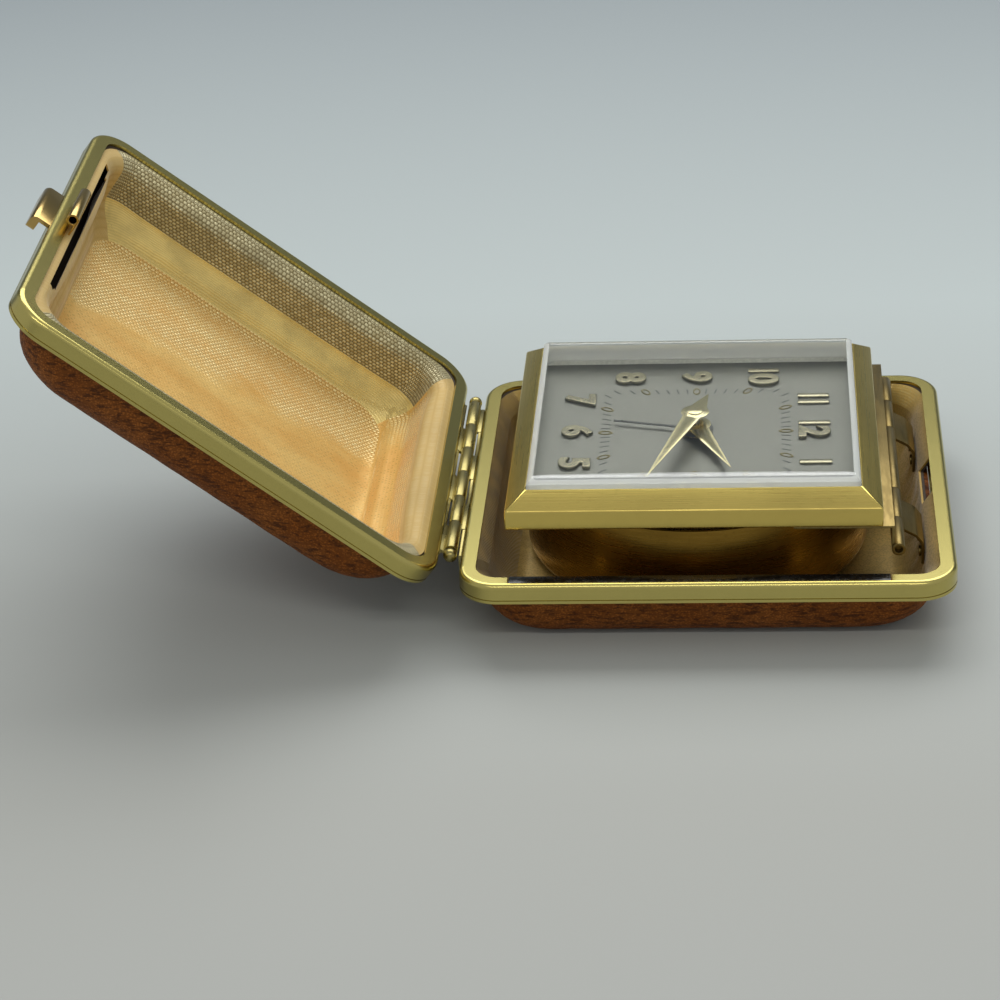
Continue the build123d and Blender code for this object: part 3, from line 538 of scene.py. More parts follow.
def cloth_material(name, colour, deep, thread, pitch, height, metal=0.2, rough=0.42, show=0.8, patch=None):
    """A woven cloth on the piece's own map, with painted light: soft clouds of painted sheen, a painted glint
    on each thread's top and painted shade in the gaps, with the glints shown everywhere or in one ragged
    patch.
    """
    material, tree, shader = new_material(name, Metallic=metal, Sheen_Weight=0.2, Sheen_Roughness=0.4)
    spread = node(tree, "UVMap", uv_map="cloth"), 0
    weave = place_group(tree, "woven_cells", spread, Pitch=pitch)
    # Painted sheen: these soft clouds shift the cloth between its deep and its own colour, and set where the
    # thread glints show, as light on the satin's soft waves would.
    cloud = place_group(tree, "tarnish", scaled(tree, spread, (0.45, 1, 1)), Size=0.009)
    base = blend_colours(tree, between(tree, (cloud, "Cloud"), 0.25, 0.75), deep, colour)
    seen = between(tree, (cloud, "Cloud"), 0.25, 0.6, 0.6 * show, show)
    if patch:
        heading, low, high = patch
        along = node(tree, "VectorMath", spread, heading, operation="DOT_PRODUCT")
        ragged = times_plus(tree, (cloud, "Cloud"), 0.02, (along, "Value"))
        seen = times(tree, between(tree, ragged, low, high, 0.12, 1.0), seen)
    # Painted highlight: each thread's top is lifted towards the thread colour as a glint.
    chance = between(tree, (weave, "Cell"), 0.0, 1.0, 0.45, 1.0)
    bright = times(tree, chance, (weave, "Height"))
    lit = blend_colours(tree, times(tree, bright, seen), base, thread)
    # Painted shade: the gaps between the threads are darkened.
    gap_shade = times(tree, between(tree, (weave, "Height"), 0.4, 0.02, 0.0, 0.62), seen)
    shade = blend_colours(tree, gap_shade, lit, darker(deep, 0.5))
    dull = between(tree, bright, 0.0, 0.8, rough + 0.14, rough - 0.12)
    coat(tree, shader, shade, dull, times(tree, (weave, "Height"), seen), height)
    return material


def ribbed_material(name, colour, deep, pitch, height, lean, metal, shade):
    """A cloth with close ribs, on the piece's own cloth map, with painted shade in the ditches between the
    ribs.
    """
    material, tree, shader = new_material(name, Metallic=metal, Sheen_Weight=0.25, Sheen_Roughness=0.4)
    spread = node(tree, "UVMap", uv_map="cloth"), 0
    parts = node(tree, "SeparateXYZ", spread)
    cloud = place_group(tree, "tarnish", spread, Size=0.006)
    wander = times(tree, (cloud, "Cloud"), 2.2 * pitch)
    across = times_plus(tree, (parts, "X"), lean, (parts, "Y"))
    turn = times(tree, math_node(tree, "ADD", across, wander), math.tau / pitch)
    rise = times_plus(tree, math_node(tree, "SINE", turn), 0.5, 0.5)
    base = blend_colours(tree, between(tree, (cloud, "Cloud"), 0.35, 0.65), deep, colour)
    # Painted shade: the ditches between the ribs are darkened by the share given as shade.
    ditch_shade = between(tree, rise, 0.6, 0.0, 0.0, shade)
    ribbed = blend_colours(tree, ditch_shade, base, darker(deep, 0.5))
    coat(tree, shader, ribbed, between(tree, rise, 0.0, 1.0, 0.55, 0.36), rise, height)
    return material


def metal_material(name, colour, rough, stretch=(900, 900, 900), lines=0.3, height=0.004 * MM, tarnish=0.12):
    """A metal with fine lines and faint clouds of tarnish."""
    material, tree, shader = new_material(name, Metallic=1.0)
    place = object_coordinates(tree)
    brushed = place_group(tree, "brushed_lines", place, Stretch=stretch)
    cloud = place_group(tree, "tarnish", place, Size=0.016)
    base = blend_colours(tree, between(tree, (cloud, "Cloud"), 0.3, 0.7), darker(colour, 1 - tarnish), colour)
    seen = times(tree, (brushed, "Lines"), lines)
    lined = blend_colours(tree, seen, base, darker(colour, 0.55))
    spots = times(tree, (cloud, "Specks"), tarnish)
    specked = blend_colours(tree, spots, lined, darker(colour, 0.4))
    uneven = times_plus(tree, (brushed, "Lines"), 0.3 * lines, rough - 0.15 * lines)
    dull = times_plus(tree, (cloud, "Cloud"), 0.3 * tarnish, uneven)
    coat(tree, shader, specked, dull, (brushed, "Lines"), height)
    return material


def plain_material(name, colour, rough, height=0.01 * MM, grain=2200):
    """A hard or painted surface with a faint, fine unevenness."""
    material, tree, shader = new_material(name)
    fine = place_group(tree, "brushed_lines", object_coordinates(tree), Stretch=(grain, grain, grain))
    light = tuple(min(1, part * 1.1) for part in colour)
    shade = blend_colours(tree, (fine, "Lines"), darker(colour, 0.85), light)
    dull = times_plus(tree, (fine, "Lines"), 0.16, rough - 0.08)
    coat(tree, shader, shade, dull, (fine, "Lines"), height)
    return material


# Bowls of leather and cloth


def outline_levels(depth, run, offset, steps):
    """Insets, heights and corner radii of a half case's wall, from under the rim down to the flat bottom."""
    inset = leather_inset + offset
    drop = depth + rim_under - offset
    levels = []
    for step in range(steps + 1):
        turn = math.pi / 2 * step / steps
        way_in = (run - offset) * (1 - math.cos(turn))
        levels.append((inset + way_in, rim_under - drop * math.sin(turn), leather_corner - offset))
    return levels


def half_sizes(inset, radius):
    """Half the length and width of a rounded outline inside the case's edge, and its corner radius."""
    half_x, half_y = case_length / 2 - inset, case_width / 2 - inset
    return half_x, half_y, min(radius, half_y * 0.8)


def carried(x, y, old, new):
    """The point on a rounded outline that matches a point on another one."""
    flat_x, flat_y = old[0] - old[2], old[1] - old[2]
    share_x = max(-1, min(1, x / flat_x))
    share_y = max(-1, min(1, y / flat_y))
    turn_x, turn_y = (x - share_x * flat_x) / old[2], (y - share_y * flat_y) / old[2]
    return share_x * (new[0] - new[2]) + turn_x * new[2], share_y * (new[1] - new[2]) + turn_y * new[2]


def bowl(name, levels, side_cuts, inner_rings):
    """An open bowl with a rounded outline: levels are (inset, height, corner radius) from its mouth down."""
    inset, height, radius = levels[0]
    outline = half_sizes(inset, radius)
    rest()
    bpy.ops.mesh.primitive_plane_add(size=2, location=(case_middle, 0, height))
    obj = bpy.context.object
    obj.name = name
    obj.scale = (outline[0], outline[1], 1)
    settle(obj)
    enter(obj, "VERT")
    bpy.ops.mesh.bevel(offset=radius, segments=9, affect="VERTICES")
    bpy.ops.mesh.delete(type="ONLY_FACE")
    leave()
    enter_edges(obj, lambda first, second: (first - second).length > 3 * radius)
    bpy.ops.mesh.subdivide(number_cuts=side_cuts)
    bpy.ops.mesh.select_all(action="SELECT")
    flat_inset, flat_height, flat_radius = levels[-1]
    half = half_sizes(flat_inset, flat_radius)[1]
    shares = [(ring + 1) / (inner_rings + 1) for ring in range(inner_rings)]
    rings = [(flat_inset + half * share, flat_height, flat_radius * (1 - share)) for share in shares]
    for next_inset, next_height, next_radius in levels[1:] + rings:
        extrude((0, 0, next_height - height))
        following = half_sizes(next_inset, next_radius)
        shape = bmesh.from_edit_mesh(obj.data)
        for vertex in shape.verts:
            if vertex.select:
                x, y = carried(vertex.co.x - case_middle, vertex.co.y, outline, following)
                vertex.co.x, vertex.co.y = x + case_middle, y
        bmesh.update_edit_mesh(obj.data)
        outline, height = following, next_height
    bpy.ops.mesh.edge_face_add()
    bpy.ops.mesh.select_all(action="SELECT")
    bpy.ops.mesh.normals_make_consistent(inside=False)
    leave()
    return obj


def along_wall(x, y, half_x, half_y):
    """How far round the outline a point lies, from the middle of the far wall."""
    inner_x, inner_y = half_x - leather_corner, half_y - leather_corner
    held_x = max(-inner_x, min(inner_x, x))
    held_y = max(-inner_y, min(inner_y, y))
    turn = math.atan2(y - held_y, x - held_x)
    quarter = leather_corner * math.pi / 2
    if -math.pi / 4 <= turn <= math.pi / 4:
        return held_y + leather_corner * turn
    if math.pi / 4 < turn <= 3 * math.pi / 4:
        return inner_y + quarter + inner_x - held_x + leather_corner * (turn - math.pi / 2)
    if -3 * math.pi / 4 <= turn < -math.pi / 4:
        return -inner_y - quarter - inner_x + held_x + leather_corner * (turn + math.pi / 2)
    side = 1 if turn > 0 else -1
    start = inner_y + 2 * quarter + 2 * inner_x
    return side * (start + inner_y - side * held_y + leather_corner * (abs(turn) - math.pi))


def arc_down(levels, height):
    """The way down a wall's profile from its mouth to a height."""
    way = 0
    for (inset, high, _), (next_inset, low, _) in zip(levels, levels[1:]):
        step = math.hypot(next_inset - inset, high - low)
        if height >= low:
            return way + step * held((high - height) / (high - low))
        way += step
    return way


def map_cloth(obj, levels, floor_height):
    """Lays the cloth's own map over a lining: across the floor, and round and down its walls."""
    layer = obj.data.uv_layers.new(name="cloth")
    mesh = obj.data
    for face in mesh.polygons:
        flat = face.center.z < floor_height
        for loop_index in face.loop_indices:
            point = mesh.vertices[mesh.loops[loop_index].vertex_index].co
            x, y = point.x - case_middle, point.y
            if flat:
                layer.data[loop_index].uv = (x, y)
            else:
                round_wall = along_wall(x, y, case_length / 2 - lip_inset, case_width / 2 - lip_inset)
                layer.data[loop_index].uv = (round_wall, arc_down(levels, point.z))
    return obj


def side_angles(obj, levels):
    """For each face of a lining, how far round it lies: 0 at the far wall and 180 at the hinge's."""
    mouth = half_sizes(levels[0][0], levels[0][2])
    flat_x, flat_y = mouth[0] - mouth[2], mouth[1] - mouth[2]
    rings = [[(a + b) / 2 for a, b in zip(upper, lower)] for upper, lower in zip(levels, levels[1:])]
    angles = []
    for face in obj.data.polygons:
        place = face.center
        inset, _, radius = min(rings, key=lambda ring: abs(ring[1] - place.z))
        x, y = carried(place.x - case_middle, place.y, half_sizes(inset, radius), mouth)
        turn = math.atan2(abs(y) - min(flat_y, abs(y)), x - max(-flat_x, min(flat_x, x)))
        angles.append(abs(math.degrees(turn)))
    return angles


def held(share):
    """A share that stays between 0 and 1."""
    return min(1, max(0, share))


def waves(*place):
    """Soft noise at a place, given as three numbers."""
    return noise.noise(Vector(place))


def lay_in(obj, half):
    """Moves a piece that is modelled in a half case's own frame to where that half stands."""
    turn = Matrix.Identity(3)
    if half == "lid":
        away = Vector((-math.cos(lid_tilt), 0, math.sin(lid_tilt)))
        out = Vector((math.sin(lid_tilt), 0, math.cos(lid_tilt)))
        turn = Matrix((away, out.cross(away), out)).transposed()
    obj.matrix_world = Matrix.Translation(hinge_place) @ turn.to_4x4()
    return settle(obj)


def soften(obj, move):
    """Moves each point of a soft piece along its normal by what a function gives for its place."""
    mesh = obj.data
    shifts = [vertex.normal * move(vertex.co, vertex.normal) for vertex in mesh.vertices]
    for vertex, shift in zip(mesh.vertices, shifts):
        vertex.co += shift
    mesh.update()
    return obj


def cut_block(obj, inset, depth, half_width, high, low, middle=0.0):
    """Cuts a block out of a soft piece at its far wall."""
    rest()
    bpy.ops.mesh.primitive_cube_add(size=1, location=(far_edge - inset, middle, (high + low) / 2))
    cutter = bpy.context.object
    cutter.scale = (depth, 2 * half_width, high - low)
    settle(cutter)
    pick(obj)
    modifier = obj.modifiers.new("cut", "BOOLEAN")
    modifier.operation = "DIFFERENCE"
    modifier.object = cutter
    modifier.solver = "EXACT"
    bpy.ops.object.modifier_apply(modifier=modifier.name)
    bpy.data.objects.remove(cutter)


def thicken(obj, thickness):
    """Gives a sheet its thickness, behind the face that is modelled."""
    return modify(obj, "SOLIDIFY", thickness=thickness, offset=-1, use_even_offset=True)


def fit_sheet(obj, half, slot, node_name):
    """Lays a stretched sheet in its half case, in place of a CAD node."""
    lay_in(obj, half)
    put(obj, half, slot, node_name)


class CLOCK_OT_stage(bpy.types.Operator):
    """Make the floor, the backdrop, the lamps, the room light and the camera."""

    bl_idname = "travel_clock.stage"
    bl_label = "Stage"

    def execute(self, context):
        settings = context.scene.travel_clock.stage
        scene = context.scene
        self.add_floor(settings)
        self.add_lamp("top_lamp", settings.top_power, (0.75, 0.55), (0.0, 0.42, 0.6), (0.98, 0.99, 1.0))
        self.add_lamp("strip_lamp", settings.strip_power, (0.5, 0.022), (0.0, -0.38, 0.46), (1.0, 0.98, 0.94))
        scene.world = bpy.data.worlds.new("room")
        scene.world.use_nodes = True
        tree = scene.world.node_tree
        tree.nodes.clear()
        light = node(tree, "Background", Color=(0.95, 0.98, 1.0, 1), Strength=settings.world_strength)
        node(tree, "OutputWorld", (light, 0))
        scene.view_settings.view_transform = "Standard"
        lens = bpy.data.cameras.new("camera")
        lens.lens = settings.focal_length
        lens.sensor_width = 36
        lens.clip_start, lens.clip_end = 0.01, 20
        scene.camera = bpy.data.objects.new("camera", lens)
        scene.collection.objects.link(scene.camera)
        scene.camera.location = camera_place
        scene.camera.rotation_euler = Euler([math.radians(angle) for angle in camera_angles], "XYZ")
        return {"FINISHED"}

    def add_floor(self, settings):
        """A floor that bends up into a backdrop, whose colour changes from near to far as painted light: the
        steps carry how the light falls on the floor and backdrop.
        """
        bend_steps, bend_reach, backdrop_height = 9, 0.05, 0.9
        rest()
        bpy.ops.mesh.primitive_plane_add(size=2.4, location=(0, -0.6, 0))
        floor = bpy.context.object
        floor.name = "floor"
        settle(floor)
        enter_edges(floor, lambda first, second: min(first.y, second.y) > 0)
        for step in range(bend_steps):
            turn = math.radians(90 / bend_steps * (step + 0.5))
            extrude((0, bend_reach * math.cos(turn), bend_reach * math.sin(turn)))
        extrude((0, 0, backdrop_height))
        leave()
        smooth(floor, 40)
        material, tree, shader = new_material("plain_floor", Roughness=0.6, Specular_IOR_Level=0.25)
        parts = node(tree, "SeparateXYZ", object_coordinates(tree))
        # Painted light: the ramp steps the colour from near to far as the light on the floor and backdrop
        # falls off.
        shade = node(tree, "ValToRGB", times_plus(tree, (parts, "Y"), 1.25, 0.5))
        elements = shade.color_ramp.elements
        elements.new(0.4)
        elements.new(0.62)
        colours = (settings.near_colour, settings.middle_colour, settings.back_colour, settings.far_colour)
        for element, place, colour in zip(elements, (0.1, 0.4, 0.62, 0.9), colours):
            element.position = place
            element.color = (*colour, 1)
        wire(tree, shader, Base_Color=(shade, "Color"))
        paint(floor, material)

    def add_lamp(self, name, power, size, place, colour):
        """Adds a flat lamp that looks at the clock."""
        lamp = bpy.data.lights.new(name, "AREA")
        lamp.energy = power
        lamp.shape = "RECTANGLE"
        lamp.size, lamp.size_y = size
        lamp.color = colour
        holder = bpy.data.objects.new(name, lamp)
        bpy.context.scene.collection.objects.link(holder)
        holder.location = place
        holder.rotation_euler = (Vector((0, 0, 0.02)) - Vector(place)).to_track_quat("-Z", "Y").to_euler()


class CLOCK_OT_leather(bpy.types.Operator):
    """Model the leather skins of the tray and the lid."""

    bl_idname = "travel_clock.leather"
    bl_label = "Leather skins"

    def execute(self, context):
        settings = context.scene.travel_clock.leather
        leather = leather_material(settings)
        self.add_skin("tray", tray_depth, tray_run, leather)
        self.add_skin("lid", lid_depth, lid_run, leather)
        return {"FINISHED"}

    def add_skin(self, half, depth, run, leather):
        """Models one skin with its lip in the rim, swelling wall and flat bottom."""
        lip = [(lip_inset, lip_top, lip_corner), (leather_inset, channel_floor, leather_corner)]
        skin = bowl(half + "_leather", lip + outline_levels(depth, run, 0, 12), 34, 6)
        face_like(skin, len(skin.data.polygons) - 1, (0, 0, -1))

        def uneven(place, normal):
            fade, height, scale = 3 * MM, 0.09 * MM, 210
            if normal.z < -0.98:
                return 0
            return held((rim_under - place.z) / fade) * height * (noise.noise(place * scale) - 0.5)

        soften(skin, uneven)
        thicken(skin, skin_thickness)
        if half == "tray":
            cut_block(skin, inset=2.9 * MM, depth=4.4 * MM, half_width=8.0 * MM, high=0, low=-3.5 * MM)
        smooth(skin, 50)
        paint(skin, leather)
        fit_sheet(skin, half, "leather", half + "_skin")


class CLOCK_OT_lining(bpy.types.Operator):
    """Model the satin linings of the tray and the lid."""

    bl_idname = "travel_clock.lining"
    bl_label = "Linings"

    def execute(self, context):
        settings = context.scene.travel_clock.lining
        self.add_lid_lining(settings)
        self.add_tray_lining(settings)
        return {"FINISHED"}

    def inner_face(self, half, levels):
        """Models a lining's inner face."""
        obj = bowl(half + "_satin", levels, 60, 24)
        return face_like(obj, len(obj.data.polygons) - 1, (0, 0, 1))

    def rounded_profile(self, points, steps):
        """A smooth run of (inset, height, corner radius) levels through a few points."""
        levels = []
        for index in range(len(points) - 1):
            near = [Vector(points[min(max(index + shift, 0), len(points) - 1)]) for shift in (-1, 0, 1, 2)]
            leave_by, arrive_by = (near[2] - near[0]) / 2, (near[3] - near[1]) / 2
            for step in range(steps):
                share = step / steps
                square, cube = share * share, share * share * share
                level = near[1] * (2 * cube - 3 * square + 1) + leave_by * (cube - 2 * square + share)
                level = level + near[2] * (3 * square - 2 * cube) + arrive_by * (cube - square)
                levels.append(tuple(level))
        return levels + [points[-1]]

    def add_lid_lining(self, settings):
        """The lid's lining: swelling woven walls, a fold round the floor and a satin floor."""
        mouth = lip_inset + layers_thickness
        crease = -8.0 * MM
        fold_low = -12.85 * MM
        floor_height = -lid_depth + layers_thickness
        levels = self.rounded_profile(
            [
                (mouth, lip_top, lip_corner),
                (4.2 * MM, lip_top - 0.03 * MM, 5.8 * MM),
                (5.1 * MM, -1.8 * MM, 6.1 * MM),
                (5.3 * MM, -3.4 * MM, 6.2 * MM),
                (5.4 * MM, -6.4 * MM, 6.2 * MM),
                (5.5 * MM, crease, 6.2 * MM),
                (5.85 * MM, -9.2 * MM, 6.4 * MM),
                (7.0 * MM, -10.7 * MM, 6.5 * MM),
                (8.5 * MM, -12.0 * MM, 6.6 * MM),
                (9.7 * MM, fold_low, 6.7 * MM),
                (11.2 * MM, floor_height + 0.1 * MM, 7.2 * MM),
                (12.8 * MM, floor_height, 7.8 * MM),
            ],
            4,
        )
        satin = self.inner_face("lid", levels)

        def ripples(place, normal):
            x, y, z = place.x, place.y, place.z
            long_waves = waves(x * 60, y * 130, 2.0) + 0.5
            short_waves = waves(x * 190 + y * 90, y * 190, 7.0) + 0.5
            low = held((-9.8 * MM - z) / (3 * MM))
            rise = low * settings.ripple_height * (0.9 * long_waves + 0.4 * short_waves)
            if abs(normal.x) > abs(normal.y):
                along = y / (case_width / 2 - 7 * MM)
            else:
                along = (x - case_middle) / (case_length / 2 - 7 * MM)
            wall = held((lip_top - 0.5 * MM - z) / (1.5 * MM)) * held((z + 12.9 * MM) / (1.4 * MM))
            dents = 0.15 * MM * (waves(x * 150, y * 150, z * 260) + 0.4)
            swell = max(0, 1 - along**4) * wall * (settings.pillow_height + dents)
            return max(0, rise) + max(0, swell)

        map_cloth(satin, levels, fold_low)
        self.choose_cloths(satin, levels, crease, fold_low)
        soften(satin, ripples)
        for material in self.lid_cloths(settings):
            satin.data.materials.append(material)
        thicken(satin, lining_thickness)
        self.cut_clasp_slot(satin)
        smooth(satin, 60)
        fit_sheet(satin, "lid", "lining", "lid_lining")

    def cut_clasp_slot(self, satin):
        """Cuts the clasp's slot, and behind it the groove that the leaf spring lies in."""
        slot_inset, slot_depth, slot_half, slot_middle = 4.6 * MM, 1.0 * MM, 24.7 * MM, -1.2 * MM
        cut_block(satin, slot_inset, slot_depth, slot_half, -0.25 * MM, -2.95 * MM, slot_middle)
        groove_inset, groove_depth, groove_half = 2.95 * MM, 5.0 * MM, 22.6 * MM
        cut_block(satin, groove_inset, groove_depth, groove_half, -1.25 * MM, -2.85 * MM)

    def lid_cloths(self, settings):
        """The cloths of the lid's lining: floor, woven wall, fold and clasp wall."""
        pitch = settings.thread_pitch
        wall, clasp, fold = settings.wall_colour, settings.clasp_wall_colour, settings.fold_colour
        # Painted sheen: on the floor the thread glints show fully only in this ragged band.
        sheen_patch = ((0.12, -1, 0), 0.015, 0.021)
        return (
            cloth_material(
                "satin_floor", settings.floor_colour, settings.amber_colour, settings.floor_thread_colour,
                (1.15 * pitch, pitch, 1), 0.12 * MM, 0.25, 0.36, 1.0, sheen_patch,
            ),
            cloth_material(
                "woven_wall", wall, darker(wall, 0.6), settings.wall_thread_colour,
                (1.15 * pitch, 0.8 * pitch, 1), 0.1 * MM, 0.3, 0.38, 0.95,
            ),
            ribbed_material("ridged_fold", fold, darker(fold, 0.8), 0.42 * MM, 0.03 * MM, 0.0, 0.2, 0.25),
            cloth_material(
                "clasp_wall", clasp, darker(clasp, 0.8), settings.wall_thread_colour,
                (0.6 * pitch, 2 * pitch, 1), 0.02 * MM, 0.15, 0.5, 0.2,
            ),
        )

    def choose_cloths(self, satin, levels, crease, fold_low):
        """Gives each ring of the lid's lining its cloth: floor 0, woven wall 1, fold 2 and clasp wall 3."""
        clasp_side, hinge_side, hinge_border = 50, 150, -4.4 * MM
        for face, angle in zip(satin.data.polygons, side_angles(satin, levels)):
            height = face.center.z
            if height < fold_low:
                face.material_index = 0
            elif angle < clasp_side:
                face.material_index = 3
            elif angle > hinge_side:
                face.material_index = 3 if height > hinge_border else 0
            else:
                face.material_index = 1 if height > crease else 2

    def add_tray_lining(self, settings):
        """The tray's lining, with ribs at the hinge's wall and wrinkles at the far wall."""
        levels = [
            (lip_inset + layers_thickness, lip_top, lip_corner),
            (leather_inset + layers_thickness, channel_floor, leather_corner - layers_thickness),
        ] + outline_levels(tray_depth, tray_run, layers_thickness, 18)
        satin = self.inner_face("tray", levels)
        drop = tray_depth + rim_under - layers_thickness
        floor_border = rim_under - 0.93 * drop
        angles = side_angles(satin, levels)

        def wrinkles(place, normal):
            x, y, z = place
            share = min(1, (rim_under - z) / drop) if z < rim_under else 0
            far = held((x - case_middle - 27 * MM) / (8 * MM))
            height = 0.06 * MM + 0.22 * MM * far if share > 0.05 else 0
            bends, folds = waves(x * 260, y * 420, z * 160) + 0.3, waves(x * 500, y * 900, z * 240) + 0.3
            return max(0, height * (bends + 0.5 * folds)) * min(1, 4 * (1.02 - share))

        soften(satin, wrinkles)
        map_cloth(satin, levels, floor_border)
        colour = settings.tray_colour
        shiny = cloth_material(
            "wrinkled_tray_satin", colour, darker(colour, 0.5), settings.tray_thread_colour,
            (0.5 * MM, 0.42 * MM, 1), 0.03 * MM, 0.35, 0.34, 0.45,
        )
        deep, pitch = darker(colour, 0.6), 0.62 * MM
        ribbed = ribbed_material("ribbed_tray_wall", colour, deep, pitch, 0.2 * MM, 1.4, 0.15, 0.85)
        paint(satin, shiny, ribbed)
        hinge_side = 130
        for face, angle in zip(satin.data.polygons, angles):
            face.material_index = 1 if angle > hinge_side and face.center.z > floor_border else 0
        thicken(satin, lining_thickness)
        catch_half_width = 5.85 * MM
        cut_block(satin, 2.9 * MM, 4.4 * MM, catch_half_width, flange_under, channel_floor)
        smooth(satin, 60)
        fit_sheet(satin, "tray", "lining", "tray_lining")


class CLOCK_OT_rims(bpy.types.Operator):
    """Finish the brass rims and the stiff shells, and lay black strips of painted shade in the tray's rim."""

    bl_idname = "travel_clock.rims"
    bl_label = "Rims and shells"

    def execute(self, context):
        settings = context.scene.travel_clock.brass
        brass = metal_material("rim_brass", settings.rim_colour, 0.24, lines=0.04, height=0.0, tarnish=0.03)
        for half in ("tray", "lid"):
            finish_nodes([half + "_rim"], brass)
            finish_nodes([half + "_shell"], plain_material(half + "_board", tone(70, 58, 44), 0.8))
        # Painted shade: black strips fill the rim's notches and stand for the shade seen there.
        black = plain_material("shadow_strip", tone(18, 15, 12), 0.22, 0.02 * MM, 900)
        for name, side in (("front", -1), ("back", 1)):
            edges = sorted(side * (case_width / 2 - inset) for inset in strip_insets)
            low, high = zip(strip_ends, edges, strip_heights)
            strip = rounded_box("shadow_strip_" + name, low, high, 0.07 * MM, 2)
            put(paint(strip, black), "tray", "black")
        return {"FINISHED"}


class CLOCK_OT_main_hinge(bpy.types.Operator):
    """Round the edges of the main hinge's leaves and pin."""

    bl_idname = "travel_clock.main_hinge"
    bl_label = "Main hinge"

    def execute(self, context):
        settings = context.scene.travel_clock.brass
        along = (1500, 300, 1500)
        brass = metal_material("hinge_brass", settings.hinge_colour, 0.26, along, 0.35, 0.003 * MM, 0.3)
        bevelled_nodes(["tray_hinge_leaf", "case_hinge_pin"], "tray", "hinge_brass", brass, 0.07 * MM)
        bevelled_nodes(["lid_hinge_leaf"], "lid", "hinge_brass", brass, 0.07 * MM)
        return {"FINISHED"}


class CLOCK_OT_clasp(bpy.types.Operator):
    """Round the edges of the clasp's pieces and give them their gilt."""

    bl_idname = "travel_clock.clasp"
    bl_label = "Clasp"

    def execute(self, context):
        settings = context.scene.travel_clock.brass
        gilt = metal_material("clasp_gilt", settings.clasp_colour, 0.16, lines=0.04, height=0.0, tarnish=0.05)
        steel = metal_material("spring_steel", settings.steel_colour, 0.3, (1200, 300, 1200), 0.3)
        bevelled_nodes(["clasp_tab", "clasp_catch"], "clasp", "clasp_gilt", gilt, 0.13 * MM, 3)
        bevelled_nodes(["clasp_rivet_1", "clasp_rivet_2"], "clasp", "clasp_gilt", gilt, 0.05 * MM)
        finish_nodes(["clasp_spring"], steel)
        return {"FINISHED"}


class CLOCK_OT_head_hinge(bpy.types.Operator):
    """Round the edges of the head hinge's leaf, straps, pin and rivets."""

    bl_idname = "travel_clock.head_hinge"
    bl_label = "Head hinge"

    def execute(self, context):
        settings = context.scene.travel_clock.brass
        along = (1500, 300, 1500)
        warm = metal_material("strap_brass", settings.strap_colour, 0.34, along, 0.4, tarnish=0.3)
        bevelled_nodes(["head_hinge_leaf", "head_hinge_pin"], "head", "hinge_brass", warm, 0.07 * MM)
        rivets = ["strap_rivet_" + str(index) for index in range(1, 5)]
        bevelled_nodes(["front_strap", "back_strap"], "tray", "hinge_brass", warm, 0.07 * MM)
        bevelled_nodes(rivets, "tray", "hinge_brass", warm, 0.05 * MM)
        return {"FINISHED"}


class CLOCK_OT_bezel(bpy.types.Operator):
    """Round the bezel's edges and brush its slopes."""

    bl_idname = "travel_clock.bezel"
    bl_label = "Bezel"

    def execute(self, context):
        settings = context.scene.travel_clock.brass
        colour = settings.bezel_colour
        along = metal_material("bezel_brushed_along", colour, 0.3, (55, 4200, 4200), 0.5, 0.005 * MM)
        across = metal_material("bezel_brushed_across", colour, 0.3, (4200, 55, 4200), 0.35)
        plain = metal_material("bezel_polished", colour, 0.2, lines=0.05, height=0.0, tarnish=0.05)
        bezel = merged_copy("bezel", 0.28 * MM, 4)
        paint(bezel, plain, along, across)
        for face in bezel.data.polygons:
            normal = face.normal
            if 0.4 < normal.z < 0.95 and face.area > 1e-6:
                face.material_index = 1 if abs(normal.y) > abs(normal.x) else 2
        put(bezel, "head", "bezel_brass", "bezel")
        return {"FINISHED"}


